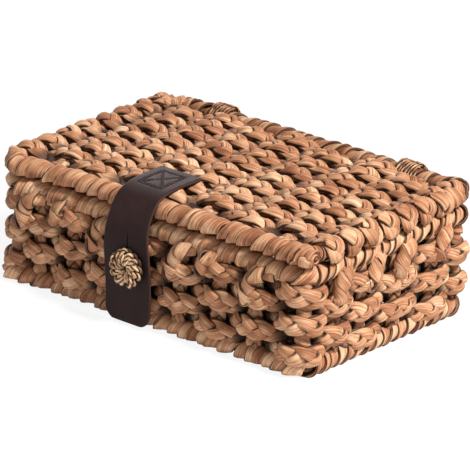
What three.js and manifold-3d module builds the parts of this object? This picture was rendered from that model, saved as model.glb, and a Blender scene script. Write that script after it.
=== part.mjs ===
// Woven lidded box. Three-strand plant-fibre braids are woven round stakes on a steel wire frame, the rims are
// wrapped, the lid is tied to the back rim with two twine hinges, and a leather strap buttons over a twine knot.
// Millimetres, +Z up, +X along the long front, front towards -Y.
import * as THREE from "three";
import { mergeVertices } from "three/addons/utils/BufferGeometryUtils.js";
import Module from "manifold-3d";

const wasm = await Module();
wasm.setup();

// Space left between pieces that touch on the real box
const clearance = 0.3;

// Wire frames, to the middle of the wire
const frame = { halfLength: 156, halfWidth: 104.5, cornerRadius: 11, wireRadius: 2, boreGap: 0.45 };
const frameCornerSteps = 4;

// Wrapped rims and posts, radius over the corners of their eight-sided section
const wrap = { railRadius: 8.8, footRadius: 5.9, sideRadius: 4, postRadius: 3.5 };
const wrapSides = 8;

// Braid: half its width on a hump, half its thickness, and the flat share of its six-sided section
const braid = { humpHalfWidth: 8, halfThickness: 3.1 };
const flatShare = 0.55;

// Stakes: flat bundles of strands
const stake = { halfWidth: 5, halfThickness: 2.7 };

// Walls: height of the lowest course and of the top rim, and the rise from course to course
const wall = { firstCourse: 18, courseRise: 12.9, topRim: 89.5 };
const courseCount = 5;
const frontStakeShares = [-0.8, -0.56, -0.34, -0.083, 0.18, 0.445, 0.685];
const backStakeShares = [-0.769, -0.521, -0.248, 0.013, 0.274, 0.534, 0.769];
const sideStakeShares = [-0.67, -0.32, 0.115, 0.59];

// Loops of braid that come out of the top rim, lean over to the left and hang down over the top course
const loop = { halfWidth: 6, halfThickness: 2.5, rootOffset: 4 };
const longLoop = { lean: 17, drop: 27 };
const middleLoop = { lean: 14, drop: 20 };
const shortLoop = { lean: 12, drop: 15 };
const frontLongLoopShares = [-0.89, -0.376, 0.158, 0.66];
const frontShortLoopShares = [-0.654, 0.308, 0.405];
const sideLoopShares = [-0.718, -0.306, 0.077, 0.574];
const backLoopShares = [-0.8, -0.4, -0.08, 0.26, 0.53, 0.88];
const loopSteps = 4;

// Base: braid laid to and fro over cross wires
const base = { wireHeight: 7, halfThickness: 2, humpHalfWidth: 8.6 };
const baseWires = 7;
const baseWireShare = 0.75;
const baseRows = 10;

// Lid: rows of braid along X over stakes along Y
const lidRows = 15;
const lidStakeShares = [-0.79, -0.535, -0.29, -0.035, 0.235, 0.53, 0.775];
const lidBraidRows = [4, 4, 4, 3];
const lidRowGap = 0.6;

// Front rail of the lid: its rolled end sticks out past the corner
const railEnd = { overhang: 4 };

// Twine hinges: twine, advance per turn, turns and places along the back rail
const tie = { twineRadius: 1, pitch: 2.6 };
const tieTurns = 7;
const tieShares = [-0.645, 0.658];
const tieHalfSteps = 6;

// Leather strap, its stitching and the slit that goes over the knot
const strap = {
  centre: -15.5, thickness: 3, halfWidth: 20, tailHalfWidth: 24, sewnLength: 46.5, bendLength: 0.5,
  standOff: 5, tip: 2.5, tipRadius: 12, anchorCorner: 2,
};
const anchorBendShare = 0.15;
const stitch = { halfWidth: 11, halfLength: 15, thickness: 0.9, height: 0.7, inset: 11 };
const slit = { above: 27, below: 13, halfWidth: 0.6, openHalfHeight: 12 };
const slitWaistShare = 0.8;

// Knot button: a ring of twine wound on a core, held by a shank with a round head
const knot = { x: -13.5, ringRadius: 11.6, windRadius: 4.4, twineRadius: 1.1, coreRadius: 2.4 };
const shank = { radius: 2, headHalfHeight: 2, rimRound: 1 };
const knotCourse = 2;
const knotTurns = 16;
const knotSteps = 9;
const coreSides = 6;
const coreSteps = 16;
const shankSides = 12;

const material = {
  braid: new THREE.MeshStandardMaterial({ color: 0xc89673, roughness: 0.75 }),
  stake: new THREE.MeshStandardMaterial({ color: 0xd2a678, roughness: 0.8 }),
  wrapping: new THREE.MeshStandardMaterial({ color: 0xbd8a62, roughness: 0.75 }),
  wire: new THREE.MeshStandardMaterial({ color: 0x77726c, roughness: 0.45, metalness: 1 }),
  twine: new THREE.MeshStandardMaterial({ color: 0xdcbe96, roughness: 0.9 }),
  leather: new THREE.MeshStandardMaterial({ color: 0x342624, roughness: 0.5 }),
  thread: new THREE.MeshStandardMaterial({ color: 0x2a1f1e, roughness: 0.7 }),
};

const flatOf = (radius, sides) => radius * Math.cos(Math.PI / sides);
const railFlat = flatOf(wrap.railRadius, wrapSides);
const footFlat = flatOf(wrap.footRadius, wrapSides);
const footHeight = footFlat;
const lerp = THREE.MathUtils.lerp;
const up = new THREE.Vector3(0, 0, 1);
const alongX = new THREE.Vector3(1, 0, 0);
const alongY = new THREE.Vector3(0, 1, 0);

// Places of stakes from their shares of the half frame
const placesOf = (shares, half) => shares.map((share) => share * half);
const frontStakes = placesOf(frontStakeShares, frame.halfLength);
const backStakes = placesOf(backStakeShares, frame.halfLength);
const sideStakes = placesOf(sideStakeShares, frame.halfWidth);
const lidStakes = placesOf(lidStakeShares, frame.halfLength);

// A tube through a list of sections, each a ring of points, closed on itself or capped at both ends.
// Its faces are turned outwards by the sign of its volume.
function tube(sections, closed = false) {
  const count = sections[0].length;
  const points = sections.flat();
  const faces = [];
  const last = closed ? sections.length : sections.length - 1;
  for (let i = 0; i < last; i++) {
    const a = i * count;
    const b = ((i + 1) % sections.length) * count;
    for (let k = 0; k < count; k++) {
      const n = (k + 1) % count;
      faces.push([a + k, b + k, b + n], [a + k, b + n, a + n]);
    }
  }
  if (!closed) {
    const end = (sections.length - 1) * count;
    for (let k = 1; k < count - 1; k++) {
      faces.push([0, k, k + 1], [end, end + k + 1, end + k]);
    }
  }
  const cross = new THREE.Vector3();
  const volume = faces.reduce(
    (sum, [a, b, c]) => sum + points[a].dot(cross.crossVectors(points[b], points[c])), 0);
  const order = volume < 0 ? faces.map(([a, b, c]) => [a, c, b]) : faces;
  const geometry = new THREE.BufferGeometry().setFromPoints(points);
  return geometry.setIndex(order.flat());
}

// Six-sided flat section: across is its wide way and thick its thin way
function flatSection(centre, across, thick, halfWidth, halfThickness) {
  const corners = [[1, 0], [flatShare, 1], [-flatShare, 1], [-1, 0], [-flatShare, -1], [flatShare, -1]];
  return corners.map(([w, t]) =>
    centre.clone().addScaledVector(across, w * halfWidth).addScaledVector(thick, t * halfThickness));
}

// Section of equal sides about a centre, with flats facing along both of its axes
function roundSection(centre, first, second, radius, sides) {
  return Array.from({ length: sides }, (_, k) => {
    const angle = ((2 * k + 1) * Math.PI) / sides;
    return centre.clone()
      .addScaledVector(first, radius * Math.cos(angle))
      .addScaledVector(second, radius * Math.sin(angle));
  });
}

const bar = (from, to, first, second, radius, sides) =>
  tube([roundSection(from, first, second, radius, sides), roundSection(to, first, second, radius, sides)]);

// Solids for cutting and joining, and back to geometry
function solidOf(geometry) {
  const plain = new THREE.BufferGeometry().setAttribute("position", geometry.getAttribute("position"));
  if (geometry.index) plain.setIndex(geometry.index);
  const merged = mergeVertices(plain);
  return new wasm.Manifold(new wasm.Mesh({
    numProp: 3,
    vertProperties: merged.getAttribute("position").array,
    triVerts: new Uint32Array(merged.index.array),
  }));
}

function geometryOf(solid) {
  const mesh = solid.getMesh();
  return new THREE.BufferGeometry()
    .setAttribute("position", new THREE.BufferAttribute(mesh.vertProperties, 3))
    .setIndex(new THREE.BufferAttribute(mesh.triVerts, 1));
}

const joined = (geometries) => geometries.map(solidOf).reduce((sum, next) => sum.add(next));
const cut = (geometry, tool) => geometryOf(solidOf(geometry).subtract(tool));

// Rounded rectangle of the frame, walked along the front, right, back and left from the front's left end
const straight = {
  long: 2 * (frame.halfLength - frame.cornerRadius),
  short: 2 * (frame.halfWidth - frame.cornerRadius),
  arc: (Math.PI / 2) * frame.cornerRadius,
};
const ringSides = [straight.long, straight.short, straight.long, straight.short];
const ringLength = ringSides.reduce((sum, side) => sum + side + straight.arc, 0);
const sideStart = (side) => ringSides.slice(0, side).reduce((sum, length) => sum + length + straight.arc, 0);
const cornerMiddle = (corner) => sideStart(corner) + ringSides[corner] + straight.arc / 2;

// Point of the ring at a walked distance, moved outwards by offset, with its outward direction
function ringPoint(distance, offset, height) {
  let walked = ((distance % ringLength) + ringLength) % ringLength;
  let side = 0;
  while (walked > ringSides[side] + straight.arc) {
    walked -= ringSides[side] + straight.arc;
    side += 1;
  }
  const onArc = Math.max(0, walked - ringSides[side]) / frame.cornerRadius;
  const angle = (side - 1) * (Math.PI / 2) + onArc;
  const outward = new THREE.Vector3(Math.cos(angle), Math.sin(angle), 0);
  const x = [1, 1, -1, -1][side] * (frame.halfLength - frame.cornerRadius);
  const y = [-1, 1, 1, -1][side] * (frame.halfWidth - frame.cornerRadius);
  const back = Math.max(0, ringSides[side] - walked);
  const heading = (side * Math.PI) / 2;
  const centre = new THREE.Vector3(x - back * Math.cos(heading), y - back * Math.sin(heading), height);
  return { point: centre.addScaledVector(outward, frame.cornerRadius + offset), outward };
}

// Walked distances at which a swept ring needs sections: both ends of each corner and the steps between
function ringStations() {
  return ringSides.flatMap((length, side) =>
    Array.from({ length: frameCornerSteps + 1 }, (_, step) =>
      sideStart(side) + length + (straight.arc * step) / frameCornerSteps));
}

function ringTube(height, radius, sides) {
  const sections = ringStations().map((distance) => {
    const { point, outward } = ringPoint(distance, 0, height);
    return roundSection(point, outward, up, radius, sides);
  });
  return tube(sections, true);
}

// Steel wire: two rings, four corner posts and the cross wires of the base
const wireSides = 6;
const lastWire = baseWireShare * frame.halfLength;
function bodyFrameSolid(radius) {
  const posts = ringSides.map((_, corner) => {
    const foot = ringPoint(cornerMiddle(corner), 0, footHeight).point;
    const head = ringPoint(cornerMiddle(corner), 0, wall.topRim).point;
    return bar(foot, head, alongX, alongY, radius, wireSides);
  });
  const wires = baseWirePlaces().map((x) => {
    const front = new THREE.Vector3(x, -frame.halfWidth, base.wireHeight);
    const back = new THREE.Vector3(x, frame.halfWidth, base.wireHeight);
    return bar(front, back, alongX, up, radius, wireSides);
  });
  const rings = [footHeight, wall.topRim].map((height) => ringTube(height, radius, wireSides));
  return joined([...rings, ...posts, ...wires]);
}

function baseWirePlaces() {
  return Array.from({ length: baseWires }, (_, i) => lerp(-lastWire, lastWire, i / (baseWires - 1)));
}

const boreRadius = frame.wireRadius + frame.boreGap;
const bodyBore = bodyFrameSolid(boreRadius);

// Depth of a braid's wave: it clears a stake's flat corner on the steepest slope
function waveDepth(halfSpan, halfThickness, stakeHalfWidth, stakeHalfThickness) {
  return (stakeHalfThickness + clearance + halfThickness) / (1 - stakeHalfWidth / halfSpan);
}

const stakeFlat = stake.halfWidth * flatShare;
const smallestStep = (places) => Math.min(...places.slice(1).map((place, i) => place - places[i]));

// Posts that the wall courses pass, in the order walked, from the front-left corner round
function coursePosts() {
  const halfLong = straight.long / 2;
  const halfShort = straight.short / 2;
  return [
    cornerMiddle(3) - ringLength,
    ...frontStakes.map((x) => halfLong + x),
    cornerMiddle(0),
    ...sideStakes.map((y) => sideStart(1) + halfShort + y),
    cornerMiddle(1),
    ...[...backStakes].reverse().map((x) => sideStart(2) + halfLong - x),
    cornerMiddle(2),
    ...[...sideStakes].reverse().map((y) => sideStart(3) + halfShort - y),
  ];
}

const posts = coursePosts();
const cornerPosts = [0, frontStakes.length + 1, frontStakes.length + sideStakes.length + 2,
  2 * frontStakes.length + sideStakes.length + 3];
const postStep = smallestStep([...posts, posts[0] + ringLength]);
const courseDepth = waveDepth(postStep / 2, braid.halfThickness, stakeFlat, stake.halfThickness);
const courseBetween = wall.courseRise / 2 - clearance;

// One course: over the posts whose number matches its own in parity, under the others
function courseGeometry(course) {
  const height = wall.firstCourse + course * wall.courseRise;
  const sections = [];
  const add = (distance, depthShare, sign) => {
    const { point, outward } = ringPoint(distance, sign * courseDepth * depthShare, height);
    const halfWidth = lerp(courseBetween, braid.humpHalfWidth, depthShare);
    sections.push(flatSection(point, up, outward, halfWidth, braid.halfThickness));
  };
  posts.forEach((here, i) => {
    const sign = (i + course) % 2 === 0 ? 1 : -1;
    const next = i + 1 < posts.length ? posts[i + 1] : posts[0] + ringLength;
    const isCorner = cornerPosts.includes(i);
    const quarter = straight.arc / 4;
    const bendShare = Math.cos((Math.PI / 2) * (quarter / ((next - here) / 2)));
    if (isCorner) add(here - quarter, bendShare, sign);
    add(here, 1, sign);
    if (isCorner) add(here + quarter, bendShare, sign);
    add((here + next) / 2, 0, sign);
  });
  return tube(sections, true);
}

const stakeBottom = 2 * footFlat + clearance;
const stakeTop = wall.topRim - railFlat - clearance;

// Upright stake on a wall, from the foot rim to the top rim
function wallStakeGeometry(x, y, outward) {
  const across = new THREE.Vector3().crossVectors(outward, up);
  const sections = [stakeBottom, stakeTop].map((height) =>
    flatSection(new THREE.Vector3(x, y, height), across, outward, stake.halfWidth, stake.halfThickness));
  return tube(sections);
}

// Hanging loop from its root in the top rim: it runs level at first and bends down in a quarter ellipse
const loopOffset = courseDepth + braid.halfThickness + clearance + loop.halfThickness;
function rimLoopGeometry(leg, { lean, drop }) {
  const sections = Array.from({ length: loopSteps + 1 }, (_, step) => {
    const angle = ((Math.PI / 2) * step) / loopSteps;
    const out = Math.min(1, 2 * Math.sin(angle));
    const walked = leg + lean * (1 - Math.sin(angle));
    const height = wall.topRim - drop * (1 - Math.cos(angle));
    const { point, outward } = ringPoint(walked, lerp(loop.rootOffset, loopOffset, out), height);
    const along = new THREE.Vector3().crossVectors(up, outward);
    const across = along.multiplyScalar(-Math.sin(angle)).addScaledVector(up, Math.cos(angle));
    return flatSection(point, across, outward, loop.halfWidth, loop.halfThickness);
  });
  return tube(sections);
}

// Legs of the loops as walked distances, each with its size
function rimLoops() {
  const halfLong = straight.long / 2;
  const halfShort = straight.short / 2;
  const sideLegs = placesOf(sideLoopShares, frame.halfWidth);
  return [
    ...placesOf(frontLongLoopShares, frame.halfLength).map((x) => [halfLong + x, longLoop]),
    ...placesOf(frontShortLoopShares, frame.halfLength).map((x) => [halfLong + x, shortLoop]),
    ...sideLegs.map((y) => [sideStart(1) + halfShort + y, middleLoop]),
    ...placesOf(backLoopShares, frame.halfLength).map((x) => [sideStart(2) + halfLong - x, middleLoop]),
    ...sideLegs.map((y) => [sideStart(3) + halfShort - y, middleLoop]),
  ];
}

function topRimGeometry() {
  const loops = rimLoops().map(([leg, size]) => rimLoopGeometry(leg, size));
  const rim = joined([ringTube(wall.topRim, wrap.railRadius, wrapSides), ...loops]);
  return geometryOf(rim.subtract(bodyBore));
}

function cornerWrapGeometry(corner) {
  const { point } = ringPoint(cornerMiddle(corner), 0, stakeBottom);
  const head = point.clone().setZ(stakeTop);
  return cut(bar(point, head, alongX, alongY, wrap.postRadius, wrapSides), bodyBore);
}

// Base weave: one braid to and fro over and under the cross wires, turning flat at each end
const baseWireStep = (2 * lastWire) / (baseWires - 1);
const baseDepth = waveDepth(baseWireStep / 2, base.halfThickness, frame.wireRadius, frame.wireRadius);
const wallInset = courseDepth + braid.halfThickness + clearance;
const baseRowReach = frame.halfWidth - wallInset - base.humpHalfWidth;
const baseRowPitch = (2 * baseRowReach) / (baseRows - 1);
const baseHalfWidth = Math.min(base.humpHalfWidth, baseRowPitch / 2 - clearance);
const turnSteps = 4;
const turnDepthShare = 0.6;
const turnWidthShare = 0.94;
const turnStart = frame.halfLength - wallInset - baseRowPitch / 2 - baseHalfWidth;

function baseWeaveGeometry() {
  const wires = baseWirePlaces();
  const sections = [];
  const add = (x, y, across, depth, halfWidth) => sections.push(flatSection(
    new THREE.Vector3(x, y, base.wireHeight + depth), across, up, halfWidth, base.halfThickness));
  for (let row = 0; row < baseRows; row++) {
    const y = row * baseRowPitch - baseRowReach;
    const heading = row % 2 === 0 ? 1 : -1;
    const across = new THREE.Vector3(0, -heading, 0);
    const signAt = (i) => ((i + row) % 2 === 0 ? 1 : -1);
    const order = wires.map((_, i) => (heading > 0 ? i : wires.length - 1 - i));
    order.forEach((i) => add(wires[i], y, across, signAt(i) * baseDepth, baseHalfWidth));
    if (row === baseRows - 1) break;
    const lastSign = signAt(order[order.length - 1]);
    for (let step = 0; step <= turnSteps; step++) {
      const angle = (Math.PI * step) / turnSteps;
      const radius = baseRowPitch / 2;
      const x = heading * (turnStart + radius * Math.sin(angle));
      const turned = new THREE.Vector3(Math.sin(angle), -heading * Math.cos(angle), 0);
      const depth = lastSign * baseDepth * turnDepthShare * Math.cos(angle);
      add(x, y + radius * (1 - Math.cos(angle)), turned, depth, baseHalfWidth * turnWidthShare);
    }
  }
  return tube(sections);
}

// Lid: heights and the wave of its braids
const sideTurnSteps = 7;
const sideTurnFrom = 120;
const sideTurnStep = (2 * sideTurnFrom) / sideTurnSteps;
const radians = THREE.MathUtils.degToRad;
const sideTurnRadius =
  (wrap.sideRadius + clearance + braid.halfThickness) / Math.cos(radians(sideTurnStep) / 2);
const sideTurnInset = frame.halfLength + sideTurnRadius * Math.cos(radians(sideTurnFrom));
const lidEdgeSpan = Math.min(lidStakes[0] + sideTurnInset, sideTurnInset - lidStakes[lidStakes.length - 1]);
const lidHalfSpan = Math.min(smallestStep(lidStakes), lidEdgeSpan) / 2;
const lidDepth = waveDepth(lidHalfSpan, braid.halfThickness, stakeFlat, stake.halfThickness);
const lidReach = Math.max(lidDepth, sideTurnRadius) + braid.halfThickness;
const lidHeight = wall.topRim + railFlat + lidReach + clearance;
const lidTop = lidHeight + lidDepth + braid.halfThickness;

// Twine loops round the lid's back rail and the body's top rim
const tieRadius =
  (wrap.railRadius + clearance + tie.twineRadius) / Math.cos(Math.PI / (2 * tieHalfSteps));
const rowLimit = frame.halfWidth - tieRadius - tie.twineRadius - clearance - braid.humpHalfWidth;
const lidRowPitch = (2 * rowLimit) / (lidRows - 1);
const lidBetween = (lidRowPitch - lidRowGap) / 2;
const rowPlace = (row) => -rowLimit + (row - 1) * lidRowPitch;

function lidFrameSolid(radius) {
  return solidOf(ringTube(lidHeight, radius, wireSides));
}

const lidBore = lidFrameSolid(boreRadius);

// Rail along part of the frame's ring, between two walked distances
function railAlongRing(from, to, radius) {
  const inner = ringStations().flatMap((d) => [d - ringLength, d]).filter((d) => d > from && d < to);
  return [from, ...inner, to].map((distance) => {
    const { point, outward } = ringPoint(distance, 0, lidHeight);
    return roundSection(point, outward, up, radius, wrapSides);
  });
}

// Front rail: wrapped round half of the left corner, straight to its cut end past the right corner
function lidFrontWrapGeometry() {
  const leftEnd = -straight.arc / 2;
  const sections = railAlongRing(leftEnd, 0, wrap.railRadius);
  const end = new THREE.Vector3(frame.halfLength + railEnd.overhang, -frame.halfWidth, lidHeight);
  sections.push(roundSection(end, alongY.clone().negate(), up, wrap.railRadius, wrapSides));
  return cut(tube(sections), lidBore);
}

function lidBackWrapGeometry() {
  const from = sideStart(2) - straight.arc / 2;
  const to = sideStart(2) + straight.long + straight.arc / 2;
  return cut(tube(railAlongRing(from, to, wrap.railRadius)), lidBore);
}

function lidSideWrapGeometry(side) {
  const from = sideStart(side);
  return cut(tube(railAlongRing(from, from + ringSides[side], wrap.sideRadius)), lidBore);
}

function lidStakeGeometry(x) {
  const end = frame.halfWidth - railFlat - clearance;
  const sections = [-end, end].map((y) =>
    flatSection(new THREE.Vector3(x, y, lidHeight), alongX, up, stake.halfWidth, stake.halfThickness));
  return tube(sections);
}

// One lid braid: rows to and fro over the stakes. Odd rows pass over both side rails, go round them and
// come back as the even rows; even rows pass under the rails.
function lidBraidGeometry(firstRow, rows) {
  const sections = [];
  const half = braid.halfThickness;
  const atStake = (x, row, y, index) => {
    const sign = (index + row) % 2 === 1 ? 1 : -1;
    const thick = up.clone().multiplyScalar(row % 2 === 1 ? 1 : -1);
    const centre = new THREE.Vector3(x, y, lidHeight + sign * lidDepth);
    sections.push(flatSection(centre, alongY, thick, braid.humpHalfWidth, half));
  };
  const between = (x, row, y) => {
    const thick = up.clone().multiplyScalar(row % 2 === 1 ? 1 : -1);
    sections.push(flatSection(new THREE.Vector3(x, y, lidHeight), alongY, thick, lidBetween, half));
  };
  // Round a side rail between two angles in degrees, 0 facing outwards and 90 on top
  const round = (side, from, to, fromY, toY) => {
    const steps = Math.max(1, Math.round(Math.abs(to - from) / sideTurnStep));
    for (let step = 0; step <= steps; step++) {
      const share = step / steps;
      const angle = radians(lerp(from, to, share));
      const thick = new THREE.Vector3(side * Math.cos(angle), 0, Math.sin(angle));
      const centre = new THREE.Vector3(side * frame.halfLength, lerp(fromY, toY, share), lidHeight)
        .addScaledVector(thick, sideTurnRadius);
      const swell = Math.max(0, Math.sin(angle));
      sections.push(flatSection(centre, alongY, thick, lerp(lidBetween, braid.humpHalfWidth, swell), half));
    }
  };
  const hookEnd = -sideTurnStep;
  const tuckEnd = -2 * sideTurnStep;
  for (let row = firstRow; row < firstRow + rows; row++) {
    const y = rowPlace(row);
    const heading = row % 2 === 1 ? 1 : -1;
    const order = lidStakes.map((_, i) => (heading > 0 ? i : lidStakes.length - 1 - i));
    const edge = (side) => (side * sideTurnInset + lidStakes[side > 0 ? lidStakes.length - 1 : 0]) / 2;
    if (row === firstRow) round(-heading, hookEnd, sideTurnFrom, y, y);
    between(edge(-heading), row, y);
    order.forEach((i, n) => {
      atStake(lidStakes[i], row, y, i + 1);
      if (n + 1 < order.length) between((lidStakes[i] + lidStakes[order[n + 1]]) / 2, row, y);
    });
    between(edge(heading), row, y);
    const isLast = row === firstRow + rows - 1;
    const nextY = rowPlace(row + 1);
    const start = row % 2 === 1 ? sideTurnFrom : -sideTurnFrom;
    if (!isLast) round(heading, start, -start, y, nextY);
    if (isLast) round(heading, start, row % 2 === 1 ? hookEnd : tuckEnd, y, y);
  }
  return tube(sections);
}

// Least space between turns of a wound tube, from points that are half a turn or more apart
function leastGap(points, perTurn, radius) {
  let least = Infinity;
  points.forEach((point, i) => {
    for (let k = i + Math.ceil(perTurn / 2); k < points.length; k++) {
      least = Math.min(least, point.distanceTo(points[k]));
    }
  });
  return least - 2 * radius;
}

// Tube along wound points, its sections square to the path. axisAt gives, for a point, the direction that
// the turns go round.
const twineSides = 5;
function twine(points, radius, axisAt) {
  const sections = points.map((point, i) => {
    const before = points[Math.max(0, i - 1)];
    const after = points[Math.min(points.length - 1, i + 1)];
    const heading = after.clone().sub(before).normalize();
    const first = new THREE.Vector3().crossVectors(heading, axisAt(point)).normalize();
    const second = new THREE.Vector3().crossVectors(heading, first);
    return roundSection(point, first, second, radius, twineSides);
  });
  return tube(sections);
}

// Twine hinge: loops round two rails, one above the other
function tiePoints(x, halfSteps) {
  const points = [];
  const perTurn = 2 * (halfSteps + 1);
  const total = tieTurns * perTurn;
  for (let n = 0; n < total; n++) {
    const inTurn = n % perTurn;
    const lower = inTurn > halfSteps;
    const step = lower ? inTurn - halfSteps - 1 : inTurn;
    const angle = (Math.PI * step) / halfSteps + (lower ? Math.PI : 0);
    const height = lower ? wall.topRim : lidHeight;
    const along = x + tie.pitch * (n / perTurn - tieTurns / 2);
    points.push(new THREE.Vector3(
      along, frame.halfWidth + tieRadius * Math.cos(angle), height + tieRadius * Math.sin(angle)));
  }
  return points;
}

// Knot winding: a coil round a ring that stands upright, facing the front. The shank rests on a braid.
const knotZ = wall.firstCourse + knotCourse * wall.courseRise + braid.humpHalfWidth + clearance
  + shank.radius;
const knotY = -(frame.halfWidth + courseDepth + braid.halfThickness + strap.standOff + strap.thickness
  + clearance + knot.windRadius + knot.twineRadius);
function knotPoints(steps) {
  const total = knotTurns * steps - Math.ceil(steps / 2);
  return Array.from({ length: total }, (_, n) => {
    const turn = (2 * Math.PI * n) / steps;
    const around = turn / knotTurns;
    const radius = knot.ringRadius + knot.windRadius * Math.cos(turn);
    return new THREE.Vector3(
      knot.x + radius * Math.cos(around), knotY + knot.windRadius * Math.sin(turn),
      knotZ + radius * Math.sin(around));
  });
}

// The knot's ring at a point: its turns go round this direction
function knotRingAxis(point) {
  const spoke = new THREE.Vector3(point.x - knot.x, 0, point.z - knotZ);
  return spoke.cross(alongY).normalize();
}

function knotCoreGeometry() {
  const ring = new THREE.TorusGeometry(knot.ringRadius, knot.coreRadius, coreSides, coreSteps);
  return ring.rotateX(Math.PI / 2).translate(knot.x, knotY, knotZ);
}

// Shank: twine post from the stake through the slit, with a round head inside the ring
function knotShankGeometry() {
  const foot = -(frame.halfWidth + stake.halfThickness + clearance);
  const headRadius = knot.ringRadius - knot.windRadius - knot.twineRadius - clearance;
  const length = foot - knotY;
  const half = shank.headHalfHeight;
  const profile = [
    [0, 0], [shank.radius, 0], [shank.radius, length - half], [headRadius, length - half],
    [headRadius, length + half - shank.rimRound], [headRadius - shank.rimRound, length + half],
    [0, length + half],
  ].map(([radius, y]) => new THREE.Vector2(radius, y));
  const turned = new THREE.LatheGeometry(profile, shankSides);
  return turned.rotateX(Math.PI).translate(knot.x, foot, knotZ);
}

// Strap path in the plane across the front: flat on the lid, round the rail, straight down
const strapEnd = frame.halfWidth - strap.sewnLength;
const bendStart = frame.halfWidth - strap.bendLength;
const strapMid = lidTop + clearance + strap.thickness / 2;
const strapFront = -(frame.halfWidth + courseDepth + braid.halfThickness + strap.standOff
  + strap.thickness / 2);
const bendRadius = -strapFront - bendStart;
const strapSplit = bendStart - bendRadius * anchorBendShare;
const bendSteps = 6;
const tipSteps = 4;

function strapSection(y, z, thick, halfWidth) {
  const centre = new THREE.Vector3(strap.centre, y, z);
  const half = strap.thickness / 2;
  return [[1, 1], [-1, 1], [-1, -1], [1, -1]].map(([w, t]) =>
    centre.clone().addScaledVector(alongX, w * halfWidth).addScaledVector(thick, t * half));
}

function strapAnchorGeometry() {
  const corner = strap.anchorCorner;
  const sections = [
    [strapEnd, strap.halfWidth - corner], [strapEnd + corner, strap.halfWidth],
    [strapSplit, strap.halfWidth],
  ].map(([back, halfWidth]) => strapSection(-back, strapMid, up, halfWidth));
  return tube(sections);
}

function strapTailGeometry() {
  const sections = [strapSection(-(strapSplit + clearance), strapMid, up, strap.halfWidth)];
  const bendHeight = strapMid - bendRadius;
  for (let step = 0; step <= bendSteps; step++) {
    const angle = (Math.PI / 2) * (1 - step / bendSteps);
    const thick = new THREE.Vector3(0, -Math.cos(angle), Math.sin(angle));
    const y = -bendStart - bendRadius * Math.cos(angle);
    const width = lerp(strap.halfWidth, strap.tailHalfWidth, step / bendSteps);
    sections.push(strapSection(y, bendHeight + bendRadius * Math.sin(angle), thick, width));
  }
  const forward = alongY.clone().negate();
  for (let step = 0; step <= tipSteps; step++) {
    const angle = ((Math.PI / 2) * step) / tipSteps;
    const z = strap.tip + strap.tipRadius * (1 - Math.sin(angle));
    const width = strap.tailHalfWidth - strap.tipRadius * (1 - Math.cos(angle));
    sections.push(strapSection(strapFront, z, forward, width));
  }
  return geometryOf(solidOf(tube(sections)).subtract(slitSolid()));
}

// Slit: narrow, opened to a lens where the shank passes
function slitSolid() {
  const open = shank.radius + clearance;
  const waist = open * slitWaistShare;
  const cutDepth = 2 * strap.thickness;
  const lens = slit.openHalfHeight;
  const outline = [
    [slit.halfWidth, -slit.below], [slit.halfWidth, -lens], [waist, -lens / 2], [open, -open],
    [open, open], [waist, lens / 2], [slit.halfWidth, lens], [slit.halfWidth, slit.above],
  ];
  const mirrored = outline.map(([x, z]) => [-x, z]).reverse();
  const corners = [...outline, ...mirrored].map(([x, z]) => new THREE.Vector2(knot.x + x, knotZ + z));
  const shape = new THREE.Shape(corners);
  const geometry = new THREE.ExtrudeGeometry(shape, { depth: cutDepth, bevelEnabled: false });
  return solidOf(geometry.rotateX(Math.PI / 2).translate(0, strapFront + cutDepth / 2, 0));
}

// Box of thread sewn into the strap's end, with both diagonals
function stitchingGeometry() {
  const z = strapMid + strap.thickness / 2 + clearance + stitch.height / 2;
  const y = -(strapEnd + stitch.inset + stitch.halfLength);
  const line = (fromX, fromY, toX, toY) => {
    const run = Math.hypot(toX - fromX, toY - fromY) + stitch.thickness;
    return new THREE.BoxGeometry(run, stitch.thickness, stitch.height)
      .rotateZ(Math.atan2(toY - fromY, toX - fromX))
      .translate((fromX + toX) / 2, (fromY + toY) / 2, 0);
  };
  const w = stitch.halfWidth;
  const h = stitch.halfLength;
  return geometryOf(joined([
    line(-w, -h, w, -h), line(w, -h, w, h), line(w, h, -w, h), line(-w, h, -w, -h),
    line(-w, -h, w, h), line(w, -h, -w, h),
  ])).translate(strap.centre, y, z);
}

const root = new THREE.Group();
function add(name, geometry, finish) {
  const mesh = new THREE.Mesh(geometry, finish);
  mesh.name = name;
  root.add(mesh);
}
const numbered = (name, i) => name + "_" + (i + 1);

function addBody() {
  add("body_wire_frame", geometryOf(bodyFrameSolid(frame.wireRadius)), material.wire);
  add("top_rim_wrap", topRimGeometry(), material.wrapping);
  add("foot_rim_wrap", cut(ringTube(footHeight, wrap.footRadius, wrapSides), bodyBore), material.wrapping);
  ringSides.forEach((_, i) => add(numbered("corner_wrap", i), cornerWrapGeometry(i), material.wrapping));
  for (let i = 0; i < courseCount; i++) add(numbered("wall_course", i), courseGeometry(i), material.braid);
  const front = alongY.clone().negate();
  frontStakes.forEach((x, i) =>
    add(numbered("front_stake", i), wallStakeGeometry(x, -frame.halfWidth, front), material.stake));
  backStakes.forEach((x, i) =>
    add(numbered("back_stake", i), wallStakeGeometry(x, frame.halfWidth, alongY), material.stake));
  const left = alongX.clone().negate();
  sideStakes.forEach((y, i) => {
    add(numbered("right_stake", i), wallStakeGeometry(frame.halfLength, y, alongX), material.stake);
    add(numbered("left_stake", i), wallStakeGeometry(-frame.halfLength, y, left), material.stake);
  });
  add("base_weave", baseWeaveGeometry(), material.braid);
}

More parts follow.
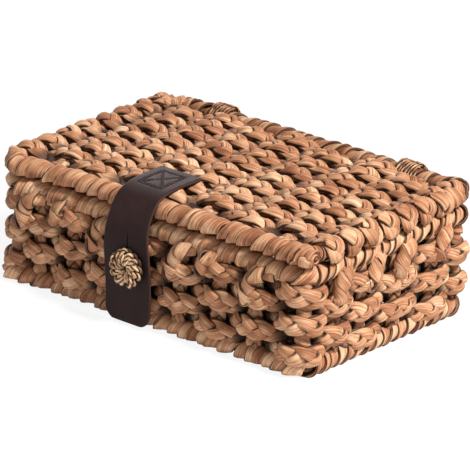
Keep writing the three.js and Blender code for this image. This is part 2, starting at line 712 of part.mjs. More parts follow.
function addLid() {
  add("lid_wire_frame", geometryOf(lidFrameSolid(frame.wireRadius)), material.wire);
  add("lid_front_wrap", lidFrontWrapGeometry(), material.wrapping);
  add("lid_back_wrap", lidBackWrapGeometry(), material.wrapping);
  add("lid_right_wrap", lidSideWrapGeometry(1), material.wrapping);
  add("lid_left_wrap", lidSideWrapGeometry(3), material.wrapping);
  lidStakes.forEach((x, i) => add(numbered("lid_stake", i), lidStakeGeometry(x), material.stake));
  let firstRow = 1;
  lidBraidRows.forEach((rows, i) => {
    add(numbered("lid_braid", i), lidBraidGeometry(firstRow, rows), material.braid);
    firstRow += rows;
  });
}

function addFastenings() {
  const fine = 24;
  placesOf(tieShares, frame.halfLength).forEach((x, i) => {
    const name = numbered("hinge_tie", i);
    add(name, twine(tiePoints(x, tieHalfSteps), tie.twineRadius, () => alongX), material.twine);
    const gap = leastGap(tiePoints(x, fine / 2), fine + 2, tie.twineRadius);
    console.log(name + " least gap " + gap.toFixed(2) + " mm");
  });
  add("knot_winding", twine(knotPoints(knotSteps), knot.twineRadius, knotRingAxis), material.twine);
  const gap = leastGap(knotPoints(fine), fine, knot.twineRadius);
  console.log("knot_winding least gap " + gap.toFixed(2) + " mm");
  add("knot_core", knotCoreGeometry(), material.twine);
  add("knot_shank", knotShankGeometry(), material.twine);
  add("strap_anchor", strapAnchorGeometry(), material.leather);
  add("strap_tail", strapTailGeometry(), material.leather);
  add("strap_stitching", stitchingGeometry(), material.thread);
}

addBody();
addLid();
addFastenings();

// The origin is the middle of the underside of the whole part
const extent = new THREE.Box3().setFromObject(root);
const middle = extent.getCenter(new THREE.Vector3());
root.position.set(-middle.x, -middle.y, -extent.min.z);

export default root;
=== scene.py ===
"""Visual model of the woven lidded box.

Three-strand braids of dried plant fibre are woven round stakes on a wire frame, the rims are wrapped, the lid
hangs on two twine hinges, and a leather strap slips over a twine knot.

Shapes are worked out in millimetres in the box's own plan: x to the right along the front, y to the back, z up
from the surface that the box stands on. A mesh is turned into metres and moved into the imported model's frame
when it is made.
"""
from __future__ import annotations

import logging
import math
from collections.abc import Callable, Iterable, Sequence
from dataclasses import dataclass, field
from enum import Enum

import bmesh
import bpy
import numpy as np
from mathutils import Matrix, Vector
from numpy.typing import NDArray


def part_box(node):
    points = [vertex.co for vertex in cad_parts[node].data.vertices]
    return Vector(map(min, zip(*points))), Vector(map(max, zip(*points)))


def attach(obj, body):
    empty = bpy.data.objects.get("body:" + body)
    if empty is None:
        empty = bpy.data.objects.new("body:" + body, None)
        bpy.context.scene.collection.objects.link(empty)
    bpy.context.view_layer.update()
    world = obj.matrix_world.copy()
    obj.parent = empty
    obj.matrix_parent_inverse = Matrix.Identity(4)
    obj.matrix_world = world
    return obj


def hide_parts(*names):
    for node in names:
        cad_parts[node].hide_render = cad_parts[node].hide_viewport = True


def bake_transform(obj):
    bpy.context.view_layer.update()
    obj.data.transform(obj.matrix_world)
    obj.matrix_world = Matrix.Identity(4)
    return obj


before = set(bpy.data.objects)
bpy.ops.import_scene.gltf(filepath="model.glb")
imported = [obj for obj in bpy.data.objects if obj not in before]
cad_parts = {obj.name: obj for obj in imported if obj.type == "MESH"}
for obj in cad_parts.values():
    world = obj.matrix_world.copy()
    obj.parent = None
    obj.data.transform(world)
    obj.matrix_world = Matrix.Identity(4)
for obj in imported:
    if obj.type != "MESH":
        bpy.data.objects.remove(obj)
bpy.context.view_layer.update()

Array = NDArray[np.float64]
LOG = logging.getLogger("woven_box")
MILLIMETRE = 0.001
TAU = 2.0 * math.pi
FAR_APART = 900  # range of the random places in the fibre texture, so that no two strands look the same


class Body(Enum):
    """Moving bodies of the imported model."""

    BASKET = "basket"
    LID = "lid"
    STRAP = "strap"


class Slot(Enum):
    """Material slots, each naming the finish that a piece takes unless another is named."""

    BRAID = "braid"
    STAKE = "stake"
    WRAPPING = "wrapping"
    WIRE = "wire"
    TWINE = "twine"
    LEATHER = "leather"
    THREAD = "thread"


def box_mm(node: str) -> tuple[Array, Array]:
    """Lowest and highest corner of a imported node, in millimetres."""
    low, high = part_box(node)
    return np.array(low) / MILLIMETRE, np.array(high) / MILLIMETRE


def middle_mm(node: str) -> Array:
    """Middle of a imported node's box, in millimetres."""
    low, high = box_mm(node)
    return (low + high) / 2


def new_object(name: str, data: bpy.types.ID) -> bpy.types.Object:
    """A new object of the scene, at the origin."""
    thing = bpy.data.objects.new(name, data)
    bpy.context.scene.collection.objects.link(thing)
    return thing


@dataclass(frozen=True)
class Plan:
    """Main sizes of the box in millimetres, to the middle of its wires."""

    half_length: float = 156.0
    half_width: float = 104.5
    corner_radius: float = 11.0
    rail_radius: float = 8.8
    first_course: float = 18.0
    course_rise: float = 12.9
    front_rise: float = 2.0
    courses: int = 5
    front_stakes: tuple[float, ...] = (-124.8, -87.4, -53.0, -12.9, 28.1, 69.4, 106.9)
    back_stakes: tuple[float, ...] = (-120.0, -81.3, -38.7, 2.0, 42.7, 83.3, 120.0)
    side_stakes: tuple[float, ...] = (-70.0, -33.4, 12.0, 61.7)
    lid_stakes: tuple[float, ...] = (-123.2, -83.5, -45.2, -5.5, 36.7, 82.7, 120.9)
    lid_rows: int = 15
    lid_row_reach: float = 85.8
    lid_droop: float = 4.4
    rim_droop: float = 3.0
    corner_swell: float = 5.5
    swell_length: float = 22.0
    stake_bend: float = 1.3
    tie_places: tuple[float, float] = (-100.6, 102.8)

    @property
    def shift(self) -> Array:
        """What moves the plan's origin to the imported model's."""
        return middle_mm("lid_wire_frame") * (0.0, 1.0, 0.0)

    @property
    def foot_height(self) -> float:
        """Height of the foot ring's middle."""
        return float(middle_mm("foot_rim_wrap")[2])

    @property
    def rim_height(self) -> float:
        """Height of the top ring's middle: the top of its eight-sided wrapping less the flat radius."""
        return float(box_mm("top_rim_wrap")[1][2]) - self.rail_radius * math.cos(math.pi / 8)

    @property
    def lid_height(self) -> float:
        """Height of the lid's ring, which is the hinge axis too."""
        return float(middle_mm("lid_wire_frame")[2])

    def lid_level(self, y: Array | float) -> Array | float:
        """Height of the lid's middle at a place from front to back: it droops evenly towards the front."""
        return self.lid_height - self.lid_droop * (self.half_width - y) / (2 * self.half_width)

    def rim_level(self, y: Array | float) -> Array | float:
        """Height of the top rim's middle, which droops in the same way."""
        return self.rim_height - self.rim_droop * (self.half_width - y) / (2 * self.half_width)

    @property
    def sides(self) -> Array:
        """Straight lengths of the ring: front, right, back and left."""
        long = 2 * (self.half_length - self.corner_radius)
        short = 2 * (self.half_width - self.corner_radius)
        return np.array([long, short, long, short])

    @property
    def arc(self) -> float:
        """Length of one corner of the ring."""
        return self.corner_radius * math.pi / 2

    @property
    def starts(self) -> Array:
        """Walked distances at which the four straight sides start."""
        return np.concatenate([[0.0], np.cumsum(self.sides + self.arc)[:-1]])

    @property
    def ring_length(self) -> float:
        """Length of the whole ring."""
        return float(np.sum(self.sides + self.arc))

    def corner_middle(self, corner: int) -> float:
        """Walked distance of the middle of a corner, 0 at the front right."""
        return float(self.starts[corner] + self.sides[corner] + self.arc / 2)


PLAN = Plan()


def unit(vectors: Array) -> Array:
    """Rows scaled to length one."""
    return vectors / np.maximum(np.linalg.norm(vectors, axis=-1, keepdims=True), 1e-9)


def heading_of(point: Array, closed: bool) -> Array:
    """Unit directions of travel, from each point's neighbours."""
    if closed:
        return unit(np.roll(point, -1, axis=0) - np.roll(point, 1, axis=0))
    return unit(np.gradient(point, axis=0))


def turned(angle: Array | float, first: Array, second: Array) -> Array:
    """Directions that lie at an angle from the first direction towards the second."""
    angle = np.asarray(angle)[..., None]
    return np.cos(angle) * first + np.sin(angle) * second


def square_to(direction: Array, heading: Array) -> Array:
    """Directions with their part along the heading taken out."""
    return unit(direction - np.sum(direction * heading, axis=1, keepdims=True) * heading)


def rows_of(*columns: Array | float) -> Array:
    """Columns of numbers side by side, such as x, y and z; a single number is repeated."""
    return np.stack(np.broadcast_arrays(*columns), axis=-1)


def ring_at(walked: Array, offset: Array | float, height: Array | float) -> tuple[Array, Array]:
    """Points of the rounded rectangle that the wire ring follows.

    A walked distance falls on one of four sides. On the straight part the point lies back from the corner's
    centre along the heading; on the arc the outward direction turns with the length divided by the radius.

    Args:
        walked: Distances along the ring from the front's left end.
        offset: How far outwards the points are moved.
        height: Height of the points.

    Returns:
        The points and their outward directions, as rows.
    """
    plan = PLAN
    walk = np.mod(walked, plan.ring_length)
    side = np.searchsorted(plan.starts, walk, side="right") - 1
    local = walk - plan.starts[side]
    on_arc = np.clip(local - plan.sides[side], 0, None) / plan.corner_radius
    angle = (side - 1) * (math.pi / 2) + on_arc
    back = np.clip(plan.sides[side] - local, 0, None)
    heading = side * (math.pi / 2)
    x = np.array([1, 1, -1, -1])[side] * (plan.half_length - plan.corner_radius) - back * np.cos(heading)
    y = np.array([-1, 1, 1, -1])[side] * (plan.half_width - plan.corner_radius) - back * np.sin(heading)
    outward = rows_of(np.cos(angle), np.sin(angle), 0.0)
    centre = rows_of(x, y, height)
    reach = np.broadcast_to(plan.corner_radius + np.asarray(offset), x.shape)
    return centre + outward * reach[:, None], outward


def ripple(walked: Array, wavelength: float, rng: np.random.Generator, around: float = 0.0) -> Array:
    """Smooth random wave of about unit height: a sum of four sines of nearby wavelengths.

    Args:
        walked: Distances at which the wave is wanted.
        wavelength: Middle wavelength.
        rng: Source of the phases.
        around: Length after which the wave repeats, or zero if it need not.

    Returns:
        The wave's heights.
    """
    lengths = wavelength * rng.uniform(0.6, 1.7, 4)
    if around:
        lengths = around / np.maximum(1, np.round(around / lengths))
    phases = rng.uniform(0, TAU, 4)
    return np.sin(TAU * walked[:, None] / lengths + phases).sum(axis=1) / 2


@dataclass
class Path:
    """A walked line in space.

    Each point has a direction that faces outwards, a girth by which pieces on it widen, and an exposure: 1 where
    the line lies in front, -1 where it lies behind.
    """

    point: Array
    normal: Array
    girth: Array
    exposure: Array
    closed: bool = False
    distance: Array = field(init=False)
    length: float = field(init=False)

    def __post_init__(self) -> None:
        """Measures the line and squares its outward direction to it."""
        ring = np.vstack([self.point, self.point[:1]]) if self.closed else self.point
        steps = np.linalg.norm(np.diff(ring, axis=0), axis=1)
        self.distance = np.concatenate([[0.0], np.cumsum(steps)])[: len(self.point)]
        self.length = float(np.sum(steps))
        self.normal = square_to(self.normal, heading_of(self.point, self.closed))

    @classmethod
    def plain(cls, point: Array, normal: Array, closed: bool = False) -> Path:
        """A line of even girth."""
        return cls(point, normal, np.ones(len(point)), np.zeros(len(point)), closed)

    @classmethod
    def through(cls, stations: Sequence[Sequence[float]], step: float = 1.5) -> Path:
        """A smooth line through stations.

        Between two stations each value follows a cubic whose slopes there are half the difference of its
        neighbours.

        Args:
            stations: Rows of point, outward direction, girth and exposure.
            step: Distance between the points of the result.

        Returns:
            The open line.
        """
        values = np.array(stations, float)
        slopes = np.gradient(values, axis=0)
        spans = np.linalg.norm(np.diff(values[:, :3], axis=0), axis=1)
        counts = np.maximum(2, np.ceil(spans / step).astype(int))
        index = np.repeat(np.arange(len(spans)), counts)
        first = np.repeat(np.cumsum(counts) - counts, counts)
        share = ((np.arange(len(index)) - first) / counts[index])[:, None]
        start, end = values[index], values[index + 1]
        out, into = slopes[index], slopes[index + 1]
        curve = (
            (2 * share**3 - 3 * share**2 + 1) * start
            + (share**3 - 2 * share**2 + share) * out
            + (3 * share**2 - 2 * share**3) * end
            + (share**3 - share**2) * into
        )
        curve = np.vstack([curve, values[-1:]])
        return cls(curve[:, :3], curve[:, 3:6], curve[:, 6], curve[:, 7])

    def turns(self, lead: float) -> float:
        """How many turns of a helix fit on the line; whole ones if the line is closed."""
        turns = self.length / lead
        return max(1, round(turns)) if self.closed else turns

    def walk(self, count: float) -> tuple[Array, float]:
        """Evenly spaced walked distances, and the length after which the line repeats, or zero."""
        walked = np.linspace(0, self.length, max(8, int(count)), endpoint=not self.closed)
        return walked, self.length if self.closed else 0.0

    def at(self, walked: Array) -> tuple[Array, Array, Array, Array, Array]:
        """Points, outward and sideways directions, girths and exposures at walked distances."""
        table = np.hstack([self.point, self.normal, self.girth[:, None], self.exposure[:, None]])
        distance = self.distance
        if self.closed:
            table = np.vstack([table, table[:1]])
            distance = np.append(distance, self.length)
        rows = np.stack([np.interp(walked, distance, column) for column in table.T], axis=1)
        heading = heading_of(rows[:, :3], self.closed)
        normal = square_to(rows[:, 3:6], heading)
        return rows[:, :3], normal, np.cross(heading, normal), rows[:, 6], rows[:, 7]


@dataclass
class Surface:
    """A mesh in the making: points in millimetres, faces, and the values that the fibre finish reads."""

    point: Array
    quads: NDArray[np.int64]
    tris: NDArray[np.int64]
    fibre: Array
    tone: Array
    edge: Array
    # Painted shade, 0 lit to 1 deep in a crevice, by which the fibre finish darkens its colour.
    shade: Array

    @classmethod
    def joined(cls, parts: Sequence[Surface]) -> Surface:
        """Several surfaces as one mesh of separate shells."""
        starts = np.cumsum([0] + [len(part.point) for part in parts[:-1]])
        faces = {
            kind: np.vstack([getattr(part, kind) + start for part, start in zip(parts, starts)])
            for kind in ("quads", "tris")
        }
        values = {
            kind: np.concatenate([getattr(part, kind) for part in parts])
            for kind in ("point", "fibre", "tone", "edge", "shade")
        }
        return cls(**faces, **values)

    def to_object(self, name: str) -> bpy.types.Object:
        """The surface as a smooth-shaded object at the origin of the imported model's frame."""
        mesh = bpy.data.meshes.new(name)
        mesh.vertices.add(len(self.point))
        placed = (self.point + PLAN.shift) * MILLIMETRE
        mesh.vertices.foreach_set("co", placed.astype(np.float32).ravel())
        corners = np.concatenate([self.quads.ravel(), self.tris.ravel()])
        sizes = np.concatenate([np.full(len(self.quads), 4), np.full(len(self.tris), 3)])
        mesh.loops.add(len(corners))
        mesh.loops.foreach_set("vertex_index", corners.astype(np.int32))
        mesh.polygons.add(len(sizes))
        starts = np.cumsum(sizes) - sizes
        mesh.polygons.foreach_set("loop_start", starts.astype(np.int32))
        mesh.polygons.foreach_set("use_smooth", np.ones(len(sizes), dtype=bool))
        for label, kind, key, values in (
            ("fibre", "FLOAT_VECTOR", "vector", self.fibre),
            ("tone", "FLOAT", "value", self.tone),
            ("edge", "FLOAT", "value", self.edge),
            ("shade", "FLOAT", "value", self.shade),
        ):
            attribute = mesh.attributes.new(label, kind, "POINT")
            attribute.data.foreach_set(key, values.astype(np.float32).ravel())
        mesh.update(calc_edges=True)
        mesh.validate()
        return new_object(name, mesh)


@dataclass(frozen=True)
class StrandShape:
    """Section of one strand: half its width and thickness, its pleats and how unevenly it runs, in millimetres."""

    half_width: float
    half_thickness: float
    pleat_share: float = 0.06
    uneven_share: float = 0.08
    corners: int = 18
    squareness: float = 0.95
    pleat_waves: tuple[tuple[int, float], ...] = ((2, 0.6), (3, 0.6), (5, 0.5), (7, 0.4))
    pleat_drift: float = 34.0
    uneven_length: float = 26.0
    tone_length: float = 40.0
    tip_share: float = 0.2


def tube(
    centre: Array,
    normal: Array,
    shape: StrandShape,
    rng: np.random.Generator,
    girth: Array | float = 1.0,
    shade: Callable[[Array], Array] | None = None,
    closed: bool = False,
    tip_length: float = 4.0,
) -> Surface:
    """A strand along a line.

    Around the section the point lies at half the width times the cosine and half the thickness times the sine
    of the angle, each raised to the squareness. A few slow waves round the section make pleats that run along
    the strand and drift sideways. Open ends shrink to a tip. The fibre values are the walked distance and the
    place across the strand, from a random start; the edge value is near one at the strand's two edges.

    Args:
        centre: Points of the strand's middle line.
        normal: Direction of its thin way at each point.
        shape: Its section.
        rng: Source of its unevenness.
        girth: Share of the full width at each point.
        shade: Gives the depth of shade from the sine of the angle round the section.
        closed: Whether the strand joins itself.
        tip_length: Length over which open ends shrink.

    Returns:
        The strand's surface, closed, with its faces outwards.
    """
    count, sides = len(centre), shape.corners
    heading = heading_of(centre, closed)
    normal = square_to(normal, heading)
    across = np.cross(heading, normal)
    steps = np.linalg.norm(np.diff(centre, axis=0), axis=1)
    walked = np.concatenate([[0.0], np.cumsum(steps)])
    around = walked[-1] if closed else 0.0
    angle = TAU * np.arange(sides) / sides
    cosine, sine = np.cos(angle), np.sin(angle)
    flat_cos = np.sign(cosine) * np.abs(cosine) ** shape.squareness
    flat_sin = np.sign(sine) * np.abs(sine) ** shape.squareness
    pleats = sum(
        share * np.sin(waves * angle[None, :] + 1.3 * ripple(walked, shape.pleat_drift, rng, around)[:, None])
        for waves, share in shape.pleat_waves
    )
    swell = 1 + shape.pleat_share * pleats
    uneven = 1 + shape.uneven_share * ripple(walked, shape.uneven_length, rng, around)
    half_width = shape.half_width * uneven * girth
    half_thick = shape.half_thickness * (2 - uneven) * np.sqrt(np.asarray(girth))
    if not closed:
        tip = np.minimum(1.0, np.minimum(walked, walked[-1] - walked) / tip_length)
        ease = shape.tip_share + (1 - shape.tip_share) * np.sqrt(np.clip(1 - (1 - tip) ** 2, 0, 1))
        half_width, half_thick = half_width * ease, half_thick * ease
    wide = (half_width[:, None] * swell * flat_cos)[:, :, None] * across[:, None, :]
    thin = (half_thick[:, None] * swell * flat_sin)[:, :, None] * normal[:, None, :]
    point = centre[:, None, :] + wide + thin
    rows = np.arange(count if closed else count - 1)
    ring = np.arange(sides)
    following = (ring + 1) % sides
    a = rows[:, None] * sides + ring[None, :]
    b = ((rows[:, None] + 1) % count) * sides + ring[None, :]
    quads = rows_of(a, a - ring + following, b - ring + following, b).reshape(-1, 4)
    start = rng.uniform(0, FAR_APART)
    grid = (count, sides)
    fibre = rows_of((walked + start)[:, None], shape.half_width * cosine + start, shape.half_width * sine)
    fibre = fibre.reshape(-1, 3)
    tone = np.repeat(0.5 + 0.16 * ripple(walked, shape.tone_length, rng, around) + rng.normal(0, 0.1), sides)
    edge = np.broadcast_to(np.abs(cosine) ** 3, grid).ravel()
    depth = np.broadcast_to(shade(sine[None, :]) if shade else 0.0, grid).ravel()
    point = point.reshape(-1, 3)
    if closed:
        return Surface(point, quads, np.empty((0, 3), dtype=np.int64), fibre, tone, edge, depth)
    ends = np.array([count * sides, count * sides + 1])
    last = (count - 1) * sides
    caps = [rows_of(ends[0], following, ring), rows_of(ends[1], last + ring, last + following)]
    return Surface(
        np.vstack([point, centre[:1], centre[-1:]]),
        quads,
        np.vstack(caps),
        np.vstack([fibre, fibre[:1], fibre[-1:]]),
        np.append(tone, [tone[0], tone[-1]]),
        np.append(edge, [0.5, 0.5]),
        np.append(depth, [0.3, 0.3]),
    )


def underside(sine: Array) -> Array:
    """Shade of a wound strand's inner side, from the sine of the angle round its section."""
    return np.clip(-sine, 0, 1)


def between_plies(sine: Array) -> Array:
    """Shade of a ply's inner side and of the grooves beside it, from the same sine."""
    return underside(sine) + 0.3 * (1 - np.abs(sine))


@dataclass(frozen=True)
class Plait:
    """A three-strand plait: the length of one full crossing of a strand, and half its width and thickness."""

    period: float = 39.0
    half_width: float = 8.8
    half_thickness: float = 4.7
    strand_share: float = 0.61
    reach_share: float = 0.5
    fold_share: float = 0.15
    tilt: float = 0.9
    recess_share: float = 0.0
    dark_from: float = 0.76
    dark_blur: float = 0.28
    open_exposure: float = 0.8
    behind_weight: float = 1.3
    hurry: float = 0.35
    stray_share: float = 0.03
    stray_length: float = 30.0
    step: float = 1.5
    strand_corners: int = 18

    @property
    def strand(self) -> StrandShape:
        """Section of one of its strands."""
        return StrandShape(
            self.half_width * self.strand_share, self.half_thickness * 0.7, corners=self.strand_corners
        )

    def surface(self, path: Path, rng: np.random.Generator) -> Surface:
        """The plait along a line.

        A strand's sideways place is the sine of its phase times the sideways reach. Its height is minus the
        sine of twice the phase times the lift, so that it lies on top while it comes in from an edge and below
        while it goes out. The three phases are a third of a turn apart. Towards each edge the strand's flat side
        leans outwards, by the tilt times the squared sine and the cosine of the phase, and it is narrower at the
        edge. The path's girth widens the whole plait.

        Args:
            path: Line that the plait follows.
            rng: Source of its unevenness.

        Returns:
            The three strands as one surface.
        """
        walked, around = path.walk(path.length / self.step)
        share = walked / path.length * path.turns(self.period)
        point, normal, across, girth, exposure = path.at(walked)
        reach = self.half_width * self.reach_share * girth
        lift = self.half_thickness * 0.5 * np.sqrt(girth)
        start = rng.uniform(0, TAU)
        hurry = self.hurry * ripple(walked, 3 * self.period, rng, around)
        parts = []
        for strand in range(3):
            phase = TAU * (share + strand / 3) + start + hurry
            sideways = np.sin(phase)
            height = -np.sin(2 * phase)
            stray = self.stray_share * self.half_width * ripple(walked, self.stray_length, rng, around)
            middle = point + (reach * sideways + stray)[:, None] * across + (lift * height)[:, None] * normal
            facing = turned(-self.tilt * sideways**2 * np.cos(phase), normal, across)
            narrow = girth * (1 - self.fold_share * sideways**2)
            part = tube(middle, facing, self.strand, rng, narrow, closed=path.closed)
            # Painted shade for the crevices between strands and where the plait dives behind a stake.
            part.shade = self.depth_shade_of(part.point, point, normal, across, girth, exposure)
            parts.append(part)
        return Surface.joined(parts)

    def depth_shade_of(
        self, place: Array, point: Array, normal: Array, across: Array, girth: Array, exposure: Array
    ) -> Array:
        """Painted shade of the strands' points, from how deep they lie in the plait.

        The distance from the plait's middle line is measured in half widths and half thicknesses. Points well
        inside get painted shade, and so does the side that turns away from where the line lies in front. Where the
        line passes from front to back, the whole plait gets painted shade by the recess share.

        Args:
            place: Points of one strand, section by section, and its two end points if it is open.
            point: Middle line of the plait.
            normal: Its outward directions.
            across: Its sideways directions.
            girth: Its girths.
            exposure: Its exposures.

        Returns:
            Painted shade of each point, 1 deepest.
        """
        row = np.repeat(np.arange(len(point)), len(place) // len(point))
        row = np.append(row, [0, len(point) - 1])[: len(place)]
        off = place - point[row]
        sideways = np.sum(off * across[row], axis=1) / (self.half_width * girth[row])
        height = np.sum(off * normal[row], axis=1) / (self.half_thickness * np.sqrt(girth[row]))
        inside = np.clip((self.dark_from - np.hypot(sideways, height)) / self.dark_blur, 0, 1)
        recess = self.recess_share * np.clip(1 - np.abs(exposure[row]) / self.open_exposure, 0, 1)
        away = np.clip(recess - self.behind_weight * exposure[row] * height - 0.05, 0, 1)
        return np.clip(inside + 0.9 * away, 0, 1)


@dataclass(frozen=True)
class Winding:
    """Strands wound round a rail: radius of the rail's core, lead of one strand, and how many wind side by side."""

    core_radius: float
    lead: float
    strands: int
    half_width: float
    half_thickness: float
    lean: float = 0.3
    turn_points: int = 26
    strand_corners: int = 14
    hurry_share: float = 0.75
    bulge_share: float = 0.08
    core_shade: float = 0.4

    def surface(self, path: Path, rng: np.random.Generator) -> Surface:
        """The winding along a line, with a core painted dark as shade that closes the gaps between its turns.

        A strand's angle round the rail grows by one turn for each lead walked, and its middle lies at the core's
        radius plus half its thickness in that direction. It leans, so that each turn's edge lies on the last.

        Args:
            path: Middle line of the rail.
            rng: Source of its unevenness.

        Returns:
            The core and the strands as one surface.
        """
        walked, around = path.walk(path.turns(self.lead) * self.turn_points)
        share = walked / path.length * path.turns(self.lead)
        point, normal, across, girth, _ = path.at(walked)
        core = StrandShape(self.core_radius + 1, self.core_radius + 1, 0.0, 0.0, 12, 1.0)
        # The core stands in for the shade seen through the gaps between turns, so it is painted dark.
        parts = [tube(point, normal, core, rng, girth, lambda sine: 0 * sine + self.core_shade, path.closed)]
        shape = StrandShape(self.half_width, self.half_thickness, uneven_share=0.14, corners=self.strand_corners)
        for strand in range(self.strands):
            hurry = self.hurry_share * ripple(walked, 2.2 * self.lead, rng, around)
            angle = -TAU * (share + strand / self.strands) + hurry
            radius = (self.core_radius + self.half_thickness) * girth
            radius = radius * (1 + self.bulge_share * ripple(walked, 24.0, rng, around))
            out = turned(angle, normal, across)
            middle = point + radius[:, None] * out
            facing = turned(self.lean, out, np.cross(heading_of(middle, path.closed), out))
            parts.append(tube(middle, facing, shape, rng, girth, underside, path.closed))
        return Surface.joined(parts)


@dataclass(frozen=True)
class Twine:
    """Twine of twisted plies: radius of one ply, how many there are and the length of one turn of the twist."""

    ply_radius: float = 0.95
    plies: int = 2
    lay: float = 8.0
    step: float = 0.7
    corners: int = 8

    def surface(self, path: Path, rng: np.random.Generator) -> Surface:
        """The twine along a line.

        Each ply lies a ply's radius off the line, at an angle that grows by one turn for each lay walked.

        Args:
            path: Middle line of the twine.
            rng: Source of its unevenness.

        Returns:
            The plies as one surface.
        """
        walked, _ = path.walk(path.length / self.step)
        share = walked / path.length * path.turns(self.lay)
        point, normal, across, girth, _ = path.at(walked)
        shape = StrandShape(self.ply_radius, self.ply_radius, 0.08, 0.05, self.corners, 1.0)
        parts = []
        for ply in range(self.plies):
            out = turned(TAU * (share + ply / self.plies), normal, across)
            middle = point + (0.85 * self.ply_radius * girth)[:, None] * out
            parts.append(tube(middle, out, shape, rng, girth, between_plies, path.closed, tip_length=1.0))
        return Surface.joined(parts)


# Lines that the braids and windings follow

COURSE_POINTS = 1400
STAKE_POINTS = 60
STRAIGHT_POINTS = 40


def ring_line(walked: Array, level: Callable[[Array], Array], closed: bool = False) -> Path:
    """Line along the ring at walked distances, whose height goes by its place from front to back.

    It swells outwards at the front-left corner, by a bell curve of the distance from that corner.
    """
    corner = PLAN.corner_middle(3) - PLAN.ring_length
    away = np.mod(walked - corner + PLAN.ring_length / 2, PLAN.ring_length) - PLAN.ring_length / 2
    point, outward = ring_at(walked, PLAN.corner_swell * np.exp(-((away / PLAN.swell_length) ** 2)), 0.0)
    point[:, 2] = level(point[:, 1])
    return Path.plain(point, outward, closed)


def ring_path(level: Callable[[Array], Array], step: float = 2.0) -> Path:
    """Closed line of a whole ring."""
    count = int(PLAN.ring_length / step)
    return ring_line(np.linspace(0, PLAN.ring_length, count, endpoint=False), level, closed=True)


def straight_path(start: Sequence[float], end: Sequence[float], normal: Sequence[float]) -> Path:
    """Open straight line that faces one way."""
    share = np.linspace(0, 1, STRAIGHT_POINTS)[:, None]
    point = np.array(start, float) * (1 - share) + np.array(end, float) * share
    return Path.plain(point, np.tile(np.array(normal, float), (STRAIGHT_POINTS, 1)))


@dataclass(frozen=True)
class Wave:
    """How a braid weaves over and under: its depth, how long it stays outside, and how thin it gets between."""

    depth: float = 7.9
    outside_share: float = 0.15
    thin_share: float = 0.82

    def offset(self, phase: Array) -> Array:
        """Height of the wave: the cosine of the phase, raised between peaks by the outside share."""
        cosine = np.cos(phase)
        return self.depth * (cosine + self.outside_share * (1 - cosine**2))

    def girth(self, phase: Array) -> Array:
        """Full on a hump and behind a stake, thin between them."""
        return self.thin_share + (1 - self.thin_share) * np.abs(np.cos(phase)) ** 0.7


def course_posts() -> Array:
    """Walked distances of the corners and stakes that a course passes, from the front-left corner round."""
    plan = PLAN
    half_long, half_short = plan.sides[0] / 2, plan.sides[1] / 2
    return np.concatenate([
        [plan.corner_middle(3) - plan.ring_length],
        half_long + np.array(plan.front_stakes),
        [plan.corner_middle(0)],
        plan.starts[1] + half_short + np.array(plan.side_stakes),
        [plan.corner_middle(1)],
        plan.starts[2] + half_long - np.array(plan.back_stakes)[::-1],
        [plan.corner_middle(2)],
        plan.starts[3] + half_short - np.array(plan.side_stakes)[::-1],
    ])


def course_path(course: int, wave: Wave, rng: np.random.Generator) -> Path:
    """Closed line of one wall course.

    The phase grows by half a turn from post to post, so that the cosine is one outside a post and minus one
    behind the next.

    Args:
        course: Number of the course, 0 lowest.
        wave: How it weaves.
        rng: Source of its unevenness.

    Returns:
        The line, at the course's height with a slight ripple, and a little higher in front.
    """
    posts = course_posts()
    marks = np.append(posts, posts[0] + PLAN.ring_length)
    walked = np.linspace(posts[0], posts[0] + PLAN.ring_length, COURSE_POINTS, endpoint=False)
    phase = math.pi * (np.interp(walked, marks, np.arange(len(marks))) + course)
    height = PLAN.first_course + course * PLAN.course_rise
    height = height + 0.7 * ripple(walked, 90.0, rng, PLAN.ring_length)
    point, outward = ring_at(walked, wave.offset(phase), height)
    point[:, 2] += PLAN.front_rise * np.clip(-outward[:, 1], 0, 1)
    return Path(point, outward, wave.girth(phase), np.cos(phase), closed=True)


def stake_path(foot: Sequence[float], outward: Sequence[float], first_sign: int, low: float, high: float) -> Path:
    """Upright line of a wall stake, which gives way to each course by a small bend.

    Args:
        foot: x and y of the stake.
        outward: Direction out of the wall.
        first_sign: 1 if the lowest course passes outside the stake, otherwise -1.
        low: Height of its lower end.
        high: Height of its upper end.

    Returns:
        The open line.
    """
    height = np.linspace(low, high, STAKE_POINTS)
    phase = math.pi * (height - PLAN.first_course) / PLAN.course_rise
    bend = -PLAN.stake_bend * first_sign * np.cos(phase)
    out = np.array(outward, float)
    point = rows_of(foot[0], foot[1], height) + bend[:, None] * out
    exposure = 0.5 * first_sign * -np.cos(phase)
    return Path(point, np.tile(out, (STAKE_POINTS, 1)), np.ones(STAKE_POINTS), exposure)


